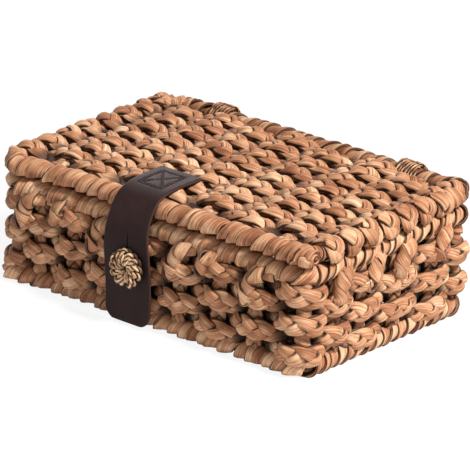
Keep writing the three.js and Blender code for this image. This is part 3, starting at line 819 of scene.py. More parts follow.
@dataclass(frozen=True)
class LidWeave:
    """Rows of the lid's braids and the way that they turn round its side rails, in millimetres and degrees."""

    depth: float = 7.4
    turn_radius: float = 8.0
    turn_from: float = 120.0
    between_share: float = 0.16
    thin_share: float = 0.9
    rail_girth: float = 1.15
    start_angle: float = -30.0
    under_angle: float = -60.0
    station_angle: float = 24.0
    first_shift: float = 4.0
    drift: float = 0.8
    braid_rows: tuple[int, ...] = (4, 4, 4, 3)

    def row_place(self, row: int) -> float:
        """Place of a row's middle along y, rows counted from 1 at the front."""
        return -PLAN.lid_row_reach + (row - 1) * 2 * PLAN.lid_row_reach / (PLAN.lid_rows - 1)

    def turn(self, side: int, start: float, end: float, from_y: float, to_y: float) -> list[tuple[float, ...]]:
        """Stations round a side rail.

        Args:
            side: 1 for the right rail and -1 for the left.
            start: First angle in degrees, 0 facing outwards and 90 on top.
            end: Last angle.
            from_y: Place along y at the start.
            to_y: Place along y at the end.

        Returns:
            Stations as point, outward direction, girth and exposure.
        """
        steps = max(2, round(abs(end - start) / self.station_angle))
        share = np.linspace(0, 1, steps + 1)
        angle = np.radians(start + (end - start) * share)
        place = from_y + (to_y - from_y) * share
        x = side * (PLAN.half_length + self.turn_radius * np.cos(angle))
        z = PLAN.lid_level(place) + self.turn_radius * np.sin(angle)
        out_x, out_z = side * np.cos(angle), np.sin(angle)
        girth = self.thin_share + (self.rail_girth - self.thin_share) * np.clip(np.cos(angle - math.pi / 4), 0, 1)
        zero = np.zeros_like(x)
        return list(zip(x, place, z, out_x, zero, out_z, girth, zero + 0.4))

    def path(self, first_row: int, rows: int, rng: np.random.Generator) -> Path:
        """Line of one lid braid through its rows.

        Odd rows pass over both side rails and come back round them as the even rows, which pass under. Halfway
        between two stakes the braid still lies outside by a share of its depth, so that its humps are long.

        Args:
            first_row: Number of its first row.
            rows: How many rows it makes.
            rng: Source of its unevenness.

        Returns:
            The open line.
        """
        stations: list[tuple[float, ...]] = []
        stakes = list(PLAN.lid_stakes)
        for row in range(first_row, first_row + rows):
            height = PLAN.lid_level(self.row_place(row))
            odd = row % 2 == 1
            heading = 1 if odd else -1
            facing = 1.0 if odd else -1.0
            y, next_y = self.row_place(row), self.row_place(row + 1)
            order = stakes if odd else stakes[::-1]
            if row == first_row:
                from_y = y - (self.first_shift if row == 1 else 0.0)
                stations += self.turn(-heading, self.start_angle, self.turn_from, from_y, y)
            for number, place in enumerate(order):
                over = (stakes.index(place) + 1 + row) % 2 == 1
                lift = self.depth if over else -self.depth
                drift = self.drift * rng.normal()
                exposure = facing if over else -facing
                stations.append((place, y + drift, height + lift, 0.0, 0.0, facing, 1.0, exposure))
                if number + 1 < len(order):
                    middle = (place + order[number + 1]) / 2
                    raised = height + self.between_share * self.depth
                    stations.append((middle, y, raised, 0.0, 0.0, facing, self.thin_share + 0.06, 0.0))
            start = self.turn_from if odd else -self.turn_from
            if row == first_row + rows - 1:
                stations += self.turn(heading, start, self.start_angle if odd else self.under_angle, y, y)
            else:
                stations += self.turn(heading, start, -start, y, next_y)
        return Path.through(stations)


# Finishes

Socket = bpy.types.NodeSocket
# Tones of the fibre grain; the last is the colour of painted shade, which also draws the fibre's dark creases.
FIBRE_TONES = ("Light", "Middle", "Dark", "Seam")


class Nodes:
    """Adds and joins the nodes of one tree."""

    def __init__(self, tree: bpy.types.NodeTree) -> None:
        """Starts with an empty tree."""
        self.tree = tree
        tree.nodes.clear()

    def add(self, kind: str, settings: dict[str, object] | None = None, **inputs: object) -> bpy.types.Node:
        """Adds a node.

        Args:
            kind: Blender's name for the node's type.
            settings: Its properties.
            inputs: Its sockets, by name with underscores for spaces, or in0, in1 and so on by place. A value is
                set, and another node's socket is joined.

        Returns:
            The node.
        """
        node = self.tree.nodes.new(kind)
        for key, value in (settings or {}).items():
            setattr(node, key, value)
        for key, value in inputs.items():
            place = int(key[2:]) if key[:2] == "in" and key[2:].isdigit() else key.replace("_", " ")
            socket = node.inputs[place]
            if isinstance(value, Socket):
                self.tree.links.new(value, socket)
            else:
                socket.default_value = value
        return node

    def math(self, operation: str, first: object, second: object = 0.0) -> Socket:
        """Result of a Math node."""
        return self.add("ShaderNodeMath", {"operation": operation}, in0=first, in1=second).outputs[0]

    def mix(self, share: object, first: object, second: object) -> Socket:
        """Result of a colour Mix node."""
        settings = {"data_type": "RGBA", "clamp_result": True}
        return self.add("ShaderNodeMix", settings, in0=share, in6=first, in7=second).outputs[2]

    def between(self, share: object, first: bpy.types.Node, second: bpy.types.Node) -> Socket:
        """Result of a Mix Shader node."""
        shaders = {"in1": first.outputs[0], "in2": second.outputs[0]}
        return self.add("ShaderNodeMixShader", None, in0=share, **shaders).outputs[0]

    def scaled(self, vector: object, scale: Sequence[float]) -> Socket:
        """A vector multiplied piece by piece."""
        settings = {"operation": "MULTIPLY"}
        return self.add("ShaderNodeVectorMath", settings, in0=vector, in1=tuple(scale)).outputs[0]

    def noise(self, vector: object, scale: float, detail: float, roughness: float) -> Socket:
        """Factor of a Noise Texture node."""
        inputs = {"Vector": vector, "Scale": scale, "Detail": detail, "Roughness": roughness}
        return self.add("ShaderNodeTexNoise", None, **inputs).outputs[0]

    def spread(self, value: object, low: float, high: float, to_low: float = 0.0, to_high: float = 1.0) -> Socket:
        """A value mapped and clamped from one range to another."""
        ends = {"in1": low, "in2": high, "in3": to_low, "in4": to_high}
        return self.add("ShaderNodeMapRange", {"clamp": True}, in0=value, **ends).outputs[0]


def grain_group(
    name: str, vectors: Sequence[str], floats: Sequence[str], colours: Sequence[str]
) -> bpy.types.NodeTree:
    """Empty node group with named inputs, and with the outputs Color, Roughness and Height.

    Args:
        name: Name of the group.
        vectors: Names of its vector inputs.
        floats: Names of its number inputs.
        colours: Names of its colour inputs.

    Returns:
        The group.
    """
    group = bpy.data.node_groups.new(name, "ShaderNodeTree")
    for kind, labels in (("Vector", vectors), ("Float", floats), ("Color", colours)):
        for label in labels:
            group.interface.new_socket(name=label, in_out="INPUT", socket_type="NodeSocket" + kind)
    for label, kind in (("Color", "Color"), ("Roughness", "Float"), ("Height", "Float")):
        group.interface.new_socket(name=label, in_out="OUTPUT", socket_type="NodeSocket" + kind)
    return group


def fibre_grain_group() -> bpy.types.NodeTree:
    """Group for split leaf fibre: streaks, creases, blotches, and painted shade at strand edges and in crevices.

    The streaks are noise that is stretched along the strand's length, and the creases are thin dark lines where
    that noise passes a half. The colour goes from dark through middle to light with the strand's own tone and the
    streaks. Painted shade then darkens it towards the strand's edges, where it tucks under its neighbours, and by
    the mesh's shade value.

    Returns:
        The group, with its Color, Roughness and Height.
    """
    group = grain_group("fibre_grain", ["Fibre"], ["Tone", "Edge", "Shade"], FIBRE_TONES)
    nodes = Nodes(group)
    source = nodes.add("NodeGroupInput").outputs
    fine = nodes.noise(nodes.scaled(source["Fibre"], (0.03, 1.9, 1.9)), 1.0, 3.0, 0.6)
    streak = nodes.noise(nodes.scaled(source["Fibre"], (0.018, 0.7, 0.7)), 1.0, 2.0, 0.5)
    blotch = nodes.noise(nodes.scaled(source["Fibre"], (0.08, 0.16, 0.16)), 1.0, 3.0, 0.6)
    value = nodes.math("ADD", source["Tone"], nodes.spread(streak, 0.3, 0.7, -0.26, 0.26))
    value = nodes.math("ADD", value, nodes.spread(fine, 0.35, 0.65, -0.24, 0.24))
    value = nodes.math("ADD", value, nodes.spread(blotch, 0.3, 0.7, -0.25, 0.25))
    shade = nodes.mix(nodes.spread(value, 0.0, 0.5), source["Dark"], source["Middle"])
    shade = nodes.mix(nodes.spread(value, 0.5, 1.05), shade, source["Light"])
    # Painted shade: dark towards the strand's edges and where the shade value marks it deep in the weave.
    painted_edge_shade = nodes.spread(source["Edge"], 0.66, 0.95, 0.0, 0.95)
    painted_deep_shade = nodes.spread(source["Shade"], 0.08, 0.6, 0.0, 0.97)
    shade = nodes.mix(nodes.math("MAXIMUM", painted_edge_shade, painted_deep_shade), shade, source["Seam"])
    crease = nodes.math("ABSOLUTE", nodes.math("SUBTRACT", streak, 0.5))
    shade = nodes.mix(nodes.spread(crease, 0.0, 0.02, 0.5, 0.0), shade, source["Seam"])
    rough = nodes.spread(fine, 0.3, 0.7, 0.5, 0.78)
    height = nodes.math("ADD", nodes.math("MULTIPLY", fine, 0.55), nodes.math("MULTIPLY", streak, 0.9))
    nodes.add("NodeGroupOutput", None, Color=shade, Roughness=rough, Height=height)
    return group


def leather_grain_group() -> bpy.types.NodeTree:
    """Group for smooth hide: small pores, slow blotches and a lighter, redder cut edge.

    The pores are the distances to scattered points. The colour goes from base to lighter with slow noise, and to
    the edge colour where the hide is cut.

    Returns:
        The group, with its Color, Roughness and Height.
    """
    group = grain_group("leather_grain", ["Place"], ["Edge"], ["Base", "Worn", "Cut"])
    nodes = Nodes(group)
    source = nodes.add("NodeGroupInput").outputs
    pores = nodes.add("ShaderNodeTexVoronoi", None, Vector=source["Place"], Scale=1100.0).outputs["Distance"]
    wrinkle = nodes.noise(nodes.scaled(source["Place"], (1.0, 1.0, 0.4)), 260.0, 4.0, 0.6)
    blotch = nodes.noise(source["Place"], 38.0, 3.0, 0.55)
    worn = nodes.spread(nodes.math("ADD", blotch, nodes.spread(wrinkle, 0.4, 0.8, 0.0, 0.25)), 0.45, 0.95)
    shade = nodes.mix(worn, source["Base"], source["Worn"])
    shade = nodes.mix(nodes.spread(source["Edge"], 0.3, 0.9, 0.0, 0.8), shade, source["Cut"])
    rough = nodes.spread(nodes.math("ADD", blotch, wrinkle), 0.7, 1.3, 0.46, 0.62)
    height = nodes.math("ADD", nodes.math("MULTIPLY", pores, 0.6), nodes.math("MULTIPLY", wrinkle, 0.7))
    nodes.add("NodeGroupOutput", None, Color=shade, Roughness=rough, Height=height)
    return group


Colour = tuple[float, float, float]


def opaque(colour: Colour) -> tuple[float, float, float, float]:
    """A colour with full alpha, as a socket takes it."""
    return (*colour, 1.0)


def new_material(name: str) -> tuple[bpy.types.Material, Nodes]:
    """An empty material and its nodes."""
    material = bpy.data.materials.new(name)
    material.use_nodes = True
    return material, Nodes(material.node_tree)


def attribute(nodes: Nodes, name: str, output: str = "Fac") -> Socket:
    """One of a mesh's own values."""
    return nodes.add("ShaderNodeAttribute", {"attribute_name": name}).outputs[output]


@dataclass(frozen=True)
class Finish:
    """A surface whose look comes from a grain group. Colours are linear red, green and blue."""

    name: str
    colours: dict[str, Colour]
    relief: float = 0.35
    relief_depth: float = 0.0006
    specular: float = 0.2

    def sources(self, nodes: Nodes) -> dict[str, Socket]:
        """Values of the surface that the grain group reads: those of fibre."""
        named = {label.title(): attribute(nodes, label) for label in ("tone", "edge", "shade")}
        return {"Fibre": attribute(nodes, "fibre", "Vector"), **named}

    def material(self, group: bpy.types.NodeTree) -> bpy.types.Material:
        """The finish as a material.

        Args:
            group: Grain group, with inputs for the sources and the colours.

        Returns:
            The material.
        """
        material, nodes = new_material(self.name)
        colours = {label: opaque(colour) for label, colour in self.colours.items()}
        grain = nodes.add("ShaderNodeGroup", {"node_tree": group}, **self.sources(nodes), **colours).outputs
        bump = nodes.add(
            "ShaderNodeBump", None, Strength=self.relief, Distance=self.relief_depth, Height=grain["Height"]
        )
        shader = nodes.add(
            "ShaderNodeBsdfPrincipled", None, Base_Color=grain["Color"], Roughness=grain["Roughness"],
            Normal=bump.outputs[0], Specular_IOR_Level=self.specular,
        )
        nodes.add("ShaderNodeOutputMaterial", None, Surface=shader.outputs[0])
        return material


class LeatherFinish(Finish):
    """Smooth hide."""

    def sources(self, nodes: Nodes) -> dict[str, Socket]:
        """Values of the surface that the hide's group reads."""
        return {"Place": nodes.add("ShaderNodeTexCoord").outputs["Object"], "Edge": attribute(nodes, "edge")}


@dataclass(frozen=True)
class WireFinish:
    """Drawn steel wire with some rust, colours as linear red, green and blue."""

    name: str
    steel: Colour
    rust: Colour

    def material(self) -> bpy.types.Material:
        """The finish as a material."""
        material, nodes = new_material(self.name)
        place = nodes.add("ShaderNodeTexCoord").outputs["Object"]
        rusty = nodes.spread(nodes.noise(place, 90.0, 4.0, 0.6), 0.52, 0.68)
        shade = nodes.mix(rusty, opaque(self.steel), opaque(self.rust))
        shader = nodes.add(
            "ShaderNodeBsdfPrincipled", None, Base_Color=shade,
            Metallic=nodes.spread(rusty, 0.0, 1.0, 0.6, 0.1), Roughness=nodes.spread(rusty, 0.0, 1.0, 0.45, 0.8),
        )
        nodes.add("ShaderNodeOutputMaterial", None, Surface=shader.outputs[0])
        return material


# Colour of the painted shade in crevices and at strand edges; the same colour draws the fibre's dark creases.
FIBRE_SHADE_AND_CREASE: Colour = (0.010, 0.0032, 0.0015)
FIBRES: dict[str, tuple[str, Colour, Colour, Colour, Colour]] = {
    "braid": ("braided_fibre", (0.70, 0.45, 0.275), (0.41, 0.186, 0.09), (0.18, 0.06, 0.025), FIBRE_SHADE_AND_CREASE),
    "stake": ("stake_fibre", (0.60, 0.38, 0.23), (0.35, 0.155, 0.074), (0.15, 0.05, 0.021), FIBRE_SHADE_AND_CREASE),
    "wrapping": ("wrapped_fibre", (0.69, 0.44, 0.265), (0.42, 0.19, 0.092), (0.19, 0.064, 0.027), FIBRE_SHADE_AND_CREASE),
    "twine": ("twisted_twine", (0.92, 0.70, 0.46), (0.72, 0.46, 0.27), (0.34, 0.17, 0.085), (0.02, 0.008, 0.004)),
    "tie": ("tie_twine", (0.64, 0.39, 0.22), (0.40, 0.19, 0.095), (0.18, 0.07, 0.03), FIBRE_SHADE_AND_CREASE),
    "thread": (
        "waxed_thread", (0.07, 0.05, 0.045), (0.03, 0.018, 0.016), (0.012, 0.007, 0.006), (0.004, 0.002, 0.002)
    ),
}


class Finishes:
    """All finishes of the box, made once and found by name."""

    def __init__(self) -> None:
        """Builds the shared groups and the materials."""
        grain, hide = fibre_grain_group(), leather_grain_group()
        self.named: dict[str, bpy.types.Material] = {}
        for label, (name, *colours) in FIBRES.items():
            relief = 0.2 if label == "thread" else 0.35
            finish = Finish(name, dict(zip(FIBRE_TONES, colours)), relief)
            self.named[label] = finish.material(grain)
        skin = {"Base": (0.019, 0.0085, 0.008), "Worn": (0.029, 0.0145, 0.013), "Cut": (0.06, 0.026, 0.018)}
        self.named["leather"] = LeatherFinish("dark_leather", skin, 0.25, 0.0003, 0.1).material(hide)
        self.named["wire"] = WireFinish("drawn_wire", (0.42, 0.39, 0.35), (0.20, 0.12, 0.075)).material()


# Pieces


@dataclass
class Dresser:
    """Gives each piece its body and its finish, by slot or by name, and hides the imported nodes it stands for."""

    finishes: Finishes
    pieces: int = 0

    def dress(
        self, surface: Surface, name: str, body: Body, slot: Slot, nodes: Iterable[str], finish: str = ""
    ) -> bpy.types.Object:
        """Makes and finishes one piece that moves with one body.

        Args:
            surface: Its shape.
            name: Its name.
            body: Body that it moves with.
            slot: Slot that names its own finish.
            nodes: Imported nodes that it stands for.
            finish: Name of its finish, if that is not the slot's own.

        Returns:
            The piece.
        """
        thing = surface.to_object(name)
        self.cover(thing, slot, nodes, finish)
        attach(thing, body.value)
        return thing

    def series(
        self, surfaces: Iterable[Surface], name: str, body: Body, slot: Slot, node: str, finish: str = ""
    ) -> None:
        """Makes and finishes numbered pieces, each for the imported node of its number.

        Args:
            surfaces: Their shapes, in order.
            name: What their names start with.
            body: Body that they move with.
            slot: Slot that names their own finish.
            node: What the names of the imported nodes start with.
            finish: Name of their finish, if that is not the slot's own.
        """
        for number, surface in enumerate(surfaces, 1):
            self.dress(surface, f"{name}_{number}", body, slot, [f"{node}_{number}"], finish)

    def cover(self, thing: bpy.types.Object, slot: Slot, nodes: Iterable[str], finish: str = "") -> None:
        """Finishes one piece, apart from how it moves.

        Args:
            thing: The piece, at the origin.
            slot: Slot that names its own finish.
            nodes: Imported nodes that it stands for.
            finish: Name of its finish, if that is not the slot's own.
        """
        thing.data.materials.clear()
        thing.data.materials.append(self.finishes.named[finish or slot.value])
        names = list(nodes)
        if names:
            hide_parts(*names)
        self.pieces += 1
        LOG.info("piece %s: %d faces", thing.name, len(thing.data.polygons))

    def keep(self, node: str) -> None:
        """Gives a packed wire frame that keeps its shape the finish of wire."""
        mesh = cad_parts[node].data
        mesh.materials.clear()
        mesh.materials.append(self.finishes.named[Slot.WIRE.value])
        LOG.info("packed node %s keeps its shape", node)


@dataclass(frozen=True)
class LoopSize:
    """How far a loop of the rim leans sideways on its way down, and how far it hangs down."""

    lean: float
    drop: float


@dataclass
class Basket:
    """The body of the box: wall courses, stakes, rims, corner posts and base."""

    dresser: Dresser
    course: Plait = Plait(period=50.0, half_width=9.1, half_thickness=5.0, strand_share=0.64, recess_share=0.5)
    stake: Plait = Plait(period=36.0, half_width=7.8, half_thickness=4.2, step=1.7, strand_corners=14)
    base: Plait = Plait(period=46.0, half_width=12.8, half_thickness=3.2, step=2.0, strand_corners=14)
    top_rim: Winding = Winding(3.0, lead=23.0, strands=2, half_width=7.0, half_thickness=2.5, turn_points=36)
    foot_rim: Winding = Winding(2.8, lead=23.0, strands=2, half_width=7.2, half_thickness=2.4, turn_points=36)
    corner_post: Winding = Winding(2.1, lead=11.0, strands=1, half_width=6.2, half_thickness=2.2)
    loop: Winding = Winding(1.9, lead=21.0, strands=2, half_width=5.8, half_thickness=2.0, turn_points=40)
    wave: Wave = Wave()
    front_long_loops: tuple[float, ...] = (-138.8, -58.7, 24.6, 103.0)
    front_short_loops: tuple[float, ...] = (-102.0, 56.0)
    side_loops: tuple[float, ...] = (-75.0, -32.0, 8.0, 60.0)
    back_loops: tuple[float, ...] = (-124.8, -62.4, -12.5, 40.6, 82.7, 137.3)
    long_loop: LoopSize = LoopSize(17.0, 27.0)
    middle_loop: LoopSize = LoopSize(14.0, 20.0)
    short_loop: LoopSize = LoopSize(12.0, 15.0)
    loop_start: float = 5.0
    loop_inner: float = 3.5
    loop_reach: float = 7.0
    foot_lift: float = 2.2
    floor_gap: float = 0.2
    base_wires: int = 7
    wire_share: float = 0.75
    base_rows: int = 10
    base_level: float = 8.0
    base_depth: float = 2.6
    base_inset: float = 2.7

    def build(self) -> None:
        """Makes every piece of the body."""
        self.build_courses()
        self.build_stakes()
        self.build_rims()
        self.build_loops()
        self.build_base()
        self.dresser.keep("body_wire_frame")

    def build_courses(self) -> None:
        """The five courses woven round the walls."""
        surfaces = []
        for number in range(PLAN.courses):
            rng = np.random.default_rng(100 + number)
            surfaces.append(self.course.surface(course_path(number, self.wave, rng), rng))
        self.dresser.series(surfaces, "wall_braid", Body.BASKET, Slot.BRAID, "wall_course")

    def build_stakes(self) -> None:
        """The upright stakes of the four walls."""
        low, high = 2 * PLAN.foot_height - 3, PLAN.rim_height
        long, wide = PLAN.half_length, PLAN.half_width
        walls = [
            ("front", [(x, -wide) for x in PLAN.front_stakes], (0, -1, 0), 1),
            ("right", [(long, y) for y in PLAN.side_stakes], (1, 0, 0), 9),
            ("back", [(x, wide) for x in PLAN.back_stakes], (0, 1, 0), 14),
            ("left", [(-long, y) for y in PLAN.side_stakes], (-1, 0, 0), 22),
        ]
        for wall, feet, outward, first_post in walls:
            surfaces = []
            for number, foot in enumerate(feet):
                rng = np.random.default_rng(200 + first_post * 10 + number)
                post = first_post + (len(feet) - 1 - number if wall in ("back", "left") else number)
                path = stake_path(foot, outward, 1 if post % 2 == 0 else -1, low, high)
                surfaces.append(self.stake.surface(path, rng))
            self.dresser.series(surfaces, f"{wall}_stake_braid", Body.BASKET, Slot.STAKE, f"{wall}_stake")

    def build_rims(self) -> None:
        """The wrapping of the top rim, the foot rim and the corner posts, flat where the box stands on it."""
        foot_level = PLAN.foot_height + self.foot_lift
        for name, winding, level, seed, node in (
            ("top_rim_fibre", self.top_rim, PLAN.rim_level, 300, "top_rim_wrap"),
            ("foot_rim_fibre", self.foot_rim, lambda y: np.full_like(y, foot_level), 301, "foot_rim_wrap"),
        ):
            surface = winding.surface(ring_path(level), np.random.default_rng(seed))
            surface.point[:, 2] = np.maximum(surface.point[:, 2], self.floor_gap)
            self.dresser.dress(surface, name, Body.BASKET, Slot.WRAPPING, [node])
        posts = []
        for corner in range(4):
            point, outward = ring_at(np.array([PLAN.corner_middle(corner)]), 0.0, 0.0)
            start = (*point[0][:2], 2 * PLAN.foot_height)
            end = (*point[0][:2], PLAN.rim_height - PLAN.rail_radius)
            path = straight_path(start, end, outward[0])
            posts.append(self.corner_post.surface(path, np.random.default_rng(310 + corner)))
        self.dresser.series(posts, "corner_post_fibre", Body.BASKET, Slot.WRAPPING, "corner_wrap")

    def loop_path(self, leg: float, size: LoopSize) -> Path:
        """Line of one loop of the top rim.

        It leaves the rim's wrapping, follows a quarter of an ellipse sideways and down to its leg, standing out
        from the wall by the loop's reach, and tucks its end under the highest course.

        Args:
            leg: Walked distance at which its leg hangs.
            size: Its lean and drop.

        Returns:
            The open line.
        """
        angle = np.linspace(0, math.pi / 2, 6)
        walked = leg + size.lean * (1 - np.sin(angle))
        offset = self.loop_inner + self.loop_reach * np.clip(2 * np.sin(angle), 0, 1)
        fall = self.loop_start + (size.drop - self.loop_start) * (1 - np.cos(angle))
        walked = np.concatenate([[leg + size.lean + 11], walked, [leg - 1, leg + 1]])
        offset = np.concatenate([[0.5], offset, [8.5, 1.0]])
        fall = np.concatenate([[self.loop_start], fall, [size.drop + 4, size.drop + 5]])
        girth = np.concatenate([[0.8], np.full(6, 1.05), [0.95, 0.8]])
        exposure = np.concatenate([[0.5], np.full(6, 1.0), [0.3, -0.5]])
        point, outward = ring_at(walked, offset, 0.0)
        point[:, 2] = PLAN.rim_level(point[:, 1]) - fall
        return Path.through(np.hstack([point, outward, girth[:, None], exposure[:, None]]))

    def loop_legs(self) -> list[tuple[float, LoopSize]]:
        """Walked distances of all loops round the rim, each with its size."""
        half_long, half_short = PLAN.sides[0] / 2, PLAN.sides[1] / 2
        return [
            *((half_long + x, self.long_loop) for x in self.front_long_loops),
            *((half_long + x, self.short_loop) for x in self.front_short_loops),
            *((PLAN.starts[1] + half_short + y, self.middle_loop) for y in self.side_loops),
            *((PLAN.starts[2] + half_long - x, self.middle_loop) for x in self.back_loops),
            *((PLAN.starts[3] + half_short - y, self.middle_loop) for y in self.side_loops),
        ]

    def build_loops(self) -> None:
        """The wound loops that hang from the top rim over the highest course."""
        rng = np.random.default_rng(350)
        parts = [self.loop.surface(self.loop_path(leg, size), rng) for leg, size in self.loop_legs()]
        self.dresser.dress(Surface.joined(parts), "rim_loops", Body.BASKET, Slot.WRAPPING, ["top_rim_wrap"])

    def base_path(self) -> Path:
        """Line of the base's braid: rows to and fro that rise over and dip under the cross wires.

        Returns:
            The open line.
        """
        low, high = box_mm("base_weave")
        wires = np.linspace(-1, 1, self.base_wires) * PLAN.half_length * self.wire_share
        rows, level = self.base_rows, self.base_level
        half_length, reach = ((high - low) / 2 - self.base_inset)[:2]
        pitch = 2 * reach / (rows - 1)
        stations = [(-half_length, -reach, level, 0, 0, 1, 1.0, 0.2)]
        for row in range(rows):
            heading = 1 if row % 2 == 0 else -1
            y = row * pitch - reach
            for number, wire in list(enumerate(wires))[::heading]:
                sign = 1 if (number + row) % 2 == 0 else -1
                stations.append((wire, y, level + sign * self.base_depth, 0, 0, 1, 1.0, 0.4 * sign))
            if row == rows - 1:
                stations.append((heading * half_length, y, level, 0, 0, 1, 1.0, 0.2))
                break
            for angle in np.linspace(0, math.pi, 6):
                x = heading * (half_length - pitch / 2 + pitch / 2 * math.sin(angle))
                stations.append((x, y + pitch / 2 * (1 - math.cos(angle)), level, 0, 0, 1, 0.95, 0.0))
        return Path.through(stations)

    def build_base(self) -> None:
        """The base: one braid to and fro over and under the cross wires."""
        surface = self.base.surface(self.base_path(), np.random.default_rng(330))
        self.dresser.dress(surface, "base_braid", Body.BASKET, Slot.BRAID, ["base_weave"])


@dataclass
class Lid:
    """The lid: rails, stakes and braids."""

    dresser: Dresser
    braid: Plait = Plait(period=45.0, half_width=9.2, half_thickness=5.3, strand_share=0.63, recess_share=0.55)
    stake: Plait = Plait(period=32.0, half_width=7.0, half_thickness=3.8, step=1.8, strand_corners=12)
    weave: LidWeave = LidWeave()
    long_rail: Winding = Winding(3.1, lead=25.0, strands=2, half_width=7.1, half_thickness=2.5, turn_points=40)
    side_rail: Winding = Winding(2.2, lead=9.0, strands=1, half_width=5.0, half_thickness=1.4)
    rail_end: Winding = Winding(3.6, lead=22.0, strands=2, half_width=6.4, half_thickness=2.7, turn_points=40)
    rail_end_length: float = 26.0
    roll_strand: StrandShape = StrandShape(3.4, 1.5, 0.05, 0.04, 14)
    roll_turns: float = 1.7
    roll_radii: tuple[float, float] = (6.9, 1.5)
    past_corner: float = 5.0
    front_swell: float = 0.2
    side_swell: float = 0.75
    back_girth: float = 0.96
    tie_pinch: float = 0.09

    def build(self) -> None:
        """Makes every piece of the lid."""
        self.build_rails()
        self.build_rail_end()
        self.build_stakes()
        self.build_braids()
        self.dresser.keep("lid_wire_frame")

    def long_rails(self) -> tuple[Path, Path]:
        """Lines of the front rail, thicker at its left end, and of the back rail, pinched by the ties."""
        front_end = PLAN.sides[0] - self.rail_end_length + PLAN.corner_radius
        front_walk = np.linspace(-PLAN.arc - self.past_corner, front_end, 160)
        front = ring_line(front_walk[front_walk < PLAN.sides[0]], PLAN.lid_level)
        front.girth = 1 + self.front_swell * np.exp(-((front.distance / 30.0) ** 2))
        back_walk = np.linspace(PLAN.starts[2] - PLAN.arc - self.past_corner, PLAN.starts[3] + self.past_corner, 170)
        back = ring_line(back_walk, PLAN.lid_level)
        from_tie = np.abs(back.point[:, :1] - np.array(PLAN.tie_places)).min(axis=1)
        back.girth = self.back_girth - self.tie_pinch * np.exp(-((from_tie / 14.0) ** 4))
        return front, back

    def side_rail_path(self, side: int) -> Path:
        """Line of a side rail's wrapping, thicker at the corners. Side 1 is the right and side 3 the left."""
        past = PLAN.arc + self.past_corner - 2.0
        walk = np.linspace(PLAN.starts[side] - past, PLAN.starts[side] + PLAN.sides[side] + past, 90)
        path = ring_line(walk, PLAN.lid_level)
        from_end = np.minimum(path.distance, path.length - path.distance)
        path.girth = 1 + self.side_swell * np.exp(-((from_end / 22.0) ** 2))
        return path

    def build_rails(self) -> None:
        """The wrapped rails, front and back thick and the sides thin."""
        front, back = self.long_rails()
        for name, rail, path, seed in (
            ("front", self.long_rail, front, 400),
            ("back", self.long_rail, back, 401),
            ("right", self.side_rail, self.side_rail_path(1), 402),
            ("left", self.side_rail, self.side_rail_path(3), 403),
        ):
            surface = rail.surface(path, np.random.default_rng(seed))
            self.dresser.dress(surface, f"lid_{name}_rail_fibre", Body.LID, Slot.WRAPPING, [f"lid_{name}_wrap"])

    def build_rail_end(self) -> None:
        """The right end of the front rail: a thicker winding, and its cut end rolled into a spiral.

        The spiral's radius falls evenly with the angle.
        """
        rng = np.random.default_rng(410)
        y, level = -PLAN.half_width - 0.5, PLAN.lid_level(-PLAN.half_width)
        start = (PLAN.half_length - self.rail_end_length - 4, y, level)
        end = (PLAN.half_length + 3.5, y, level)
        body = self.rail_end.surface(straight_path(start, end, (0.0, -1.0, 0.0)), rng)
        turn = np.linspace(0, self.roll_turns * TAU, 90)
        share = turn / turn[-1]
        radius = self.roll_radii[0] + (self.roll_radii[1] - self.roll_radii[0]) * share
        out = rows_of(0.0, -np.cos(turn), np.sin(turn))
        ring = rows_of(PLAN.half_length + 4.2 + 0.9 * share, y, level) + radius[:, None] * out
        roll = tube(ring, out, self.roll_strand, rng, tip_length=2.0)
        self.dresser.dress(Surface.joined([body, roll]), "lid_front_rail_end", Body.LID, Slot.WRAPPING, [])

    def build_stakes(self) -> None:
        """The stakes that the rows cross."""
        end = PLAN.half_width - PLAN.rail_radius + 1.5
        surfaces = []
        for number, x in enumerate(PLAN.lid_stakes):
            path = straight_path((x, -end, PLAN.lid_level(-end)), (x, end, PLAN.lid_level(end)), (0, 0, 1))
            surfaces.append(self.stake.surface(path, np.random.default_rng(420 + number)))
        self.dresser.series(surfaces, "lid_stake_braid", Body.LID, Slot.STAKE, "lid_stake")

    def build_braids(self) -> None:
        """The four braids that make the fifteen rows."""
        surfaces = []
        for number, rows in enumerate(self.weave.braid_rows):
            rng = np.random.default_rng(440 + number)
            first_row = 1 + sum(self.weave.braid_rows[:number])
            surfaces.append(self.braid.surface(self.weave.path(first_row, rows, rng), rng))
        self.dresser.series(surfaces, "lid_row_braid", Body.LID, Slot.BRAID, "lid_braid")


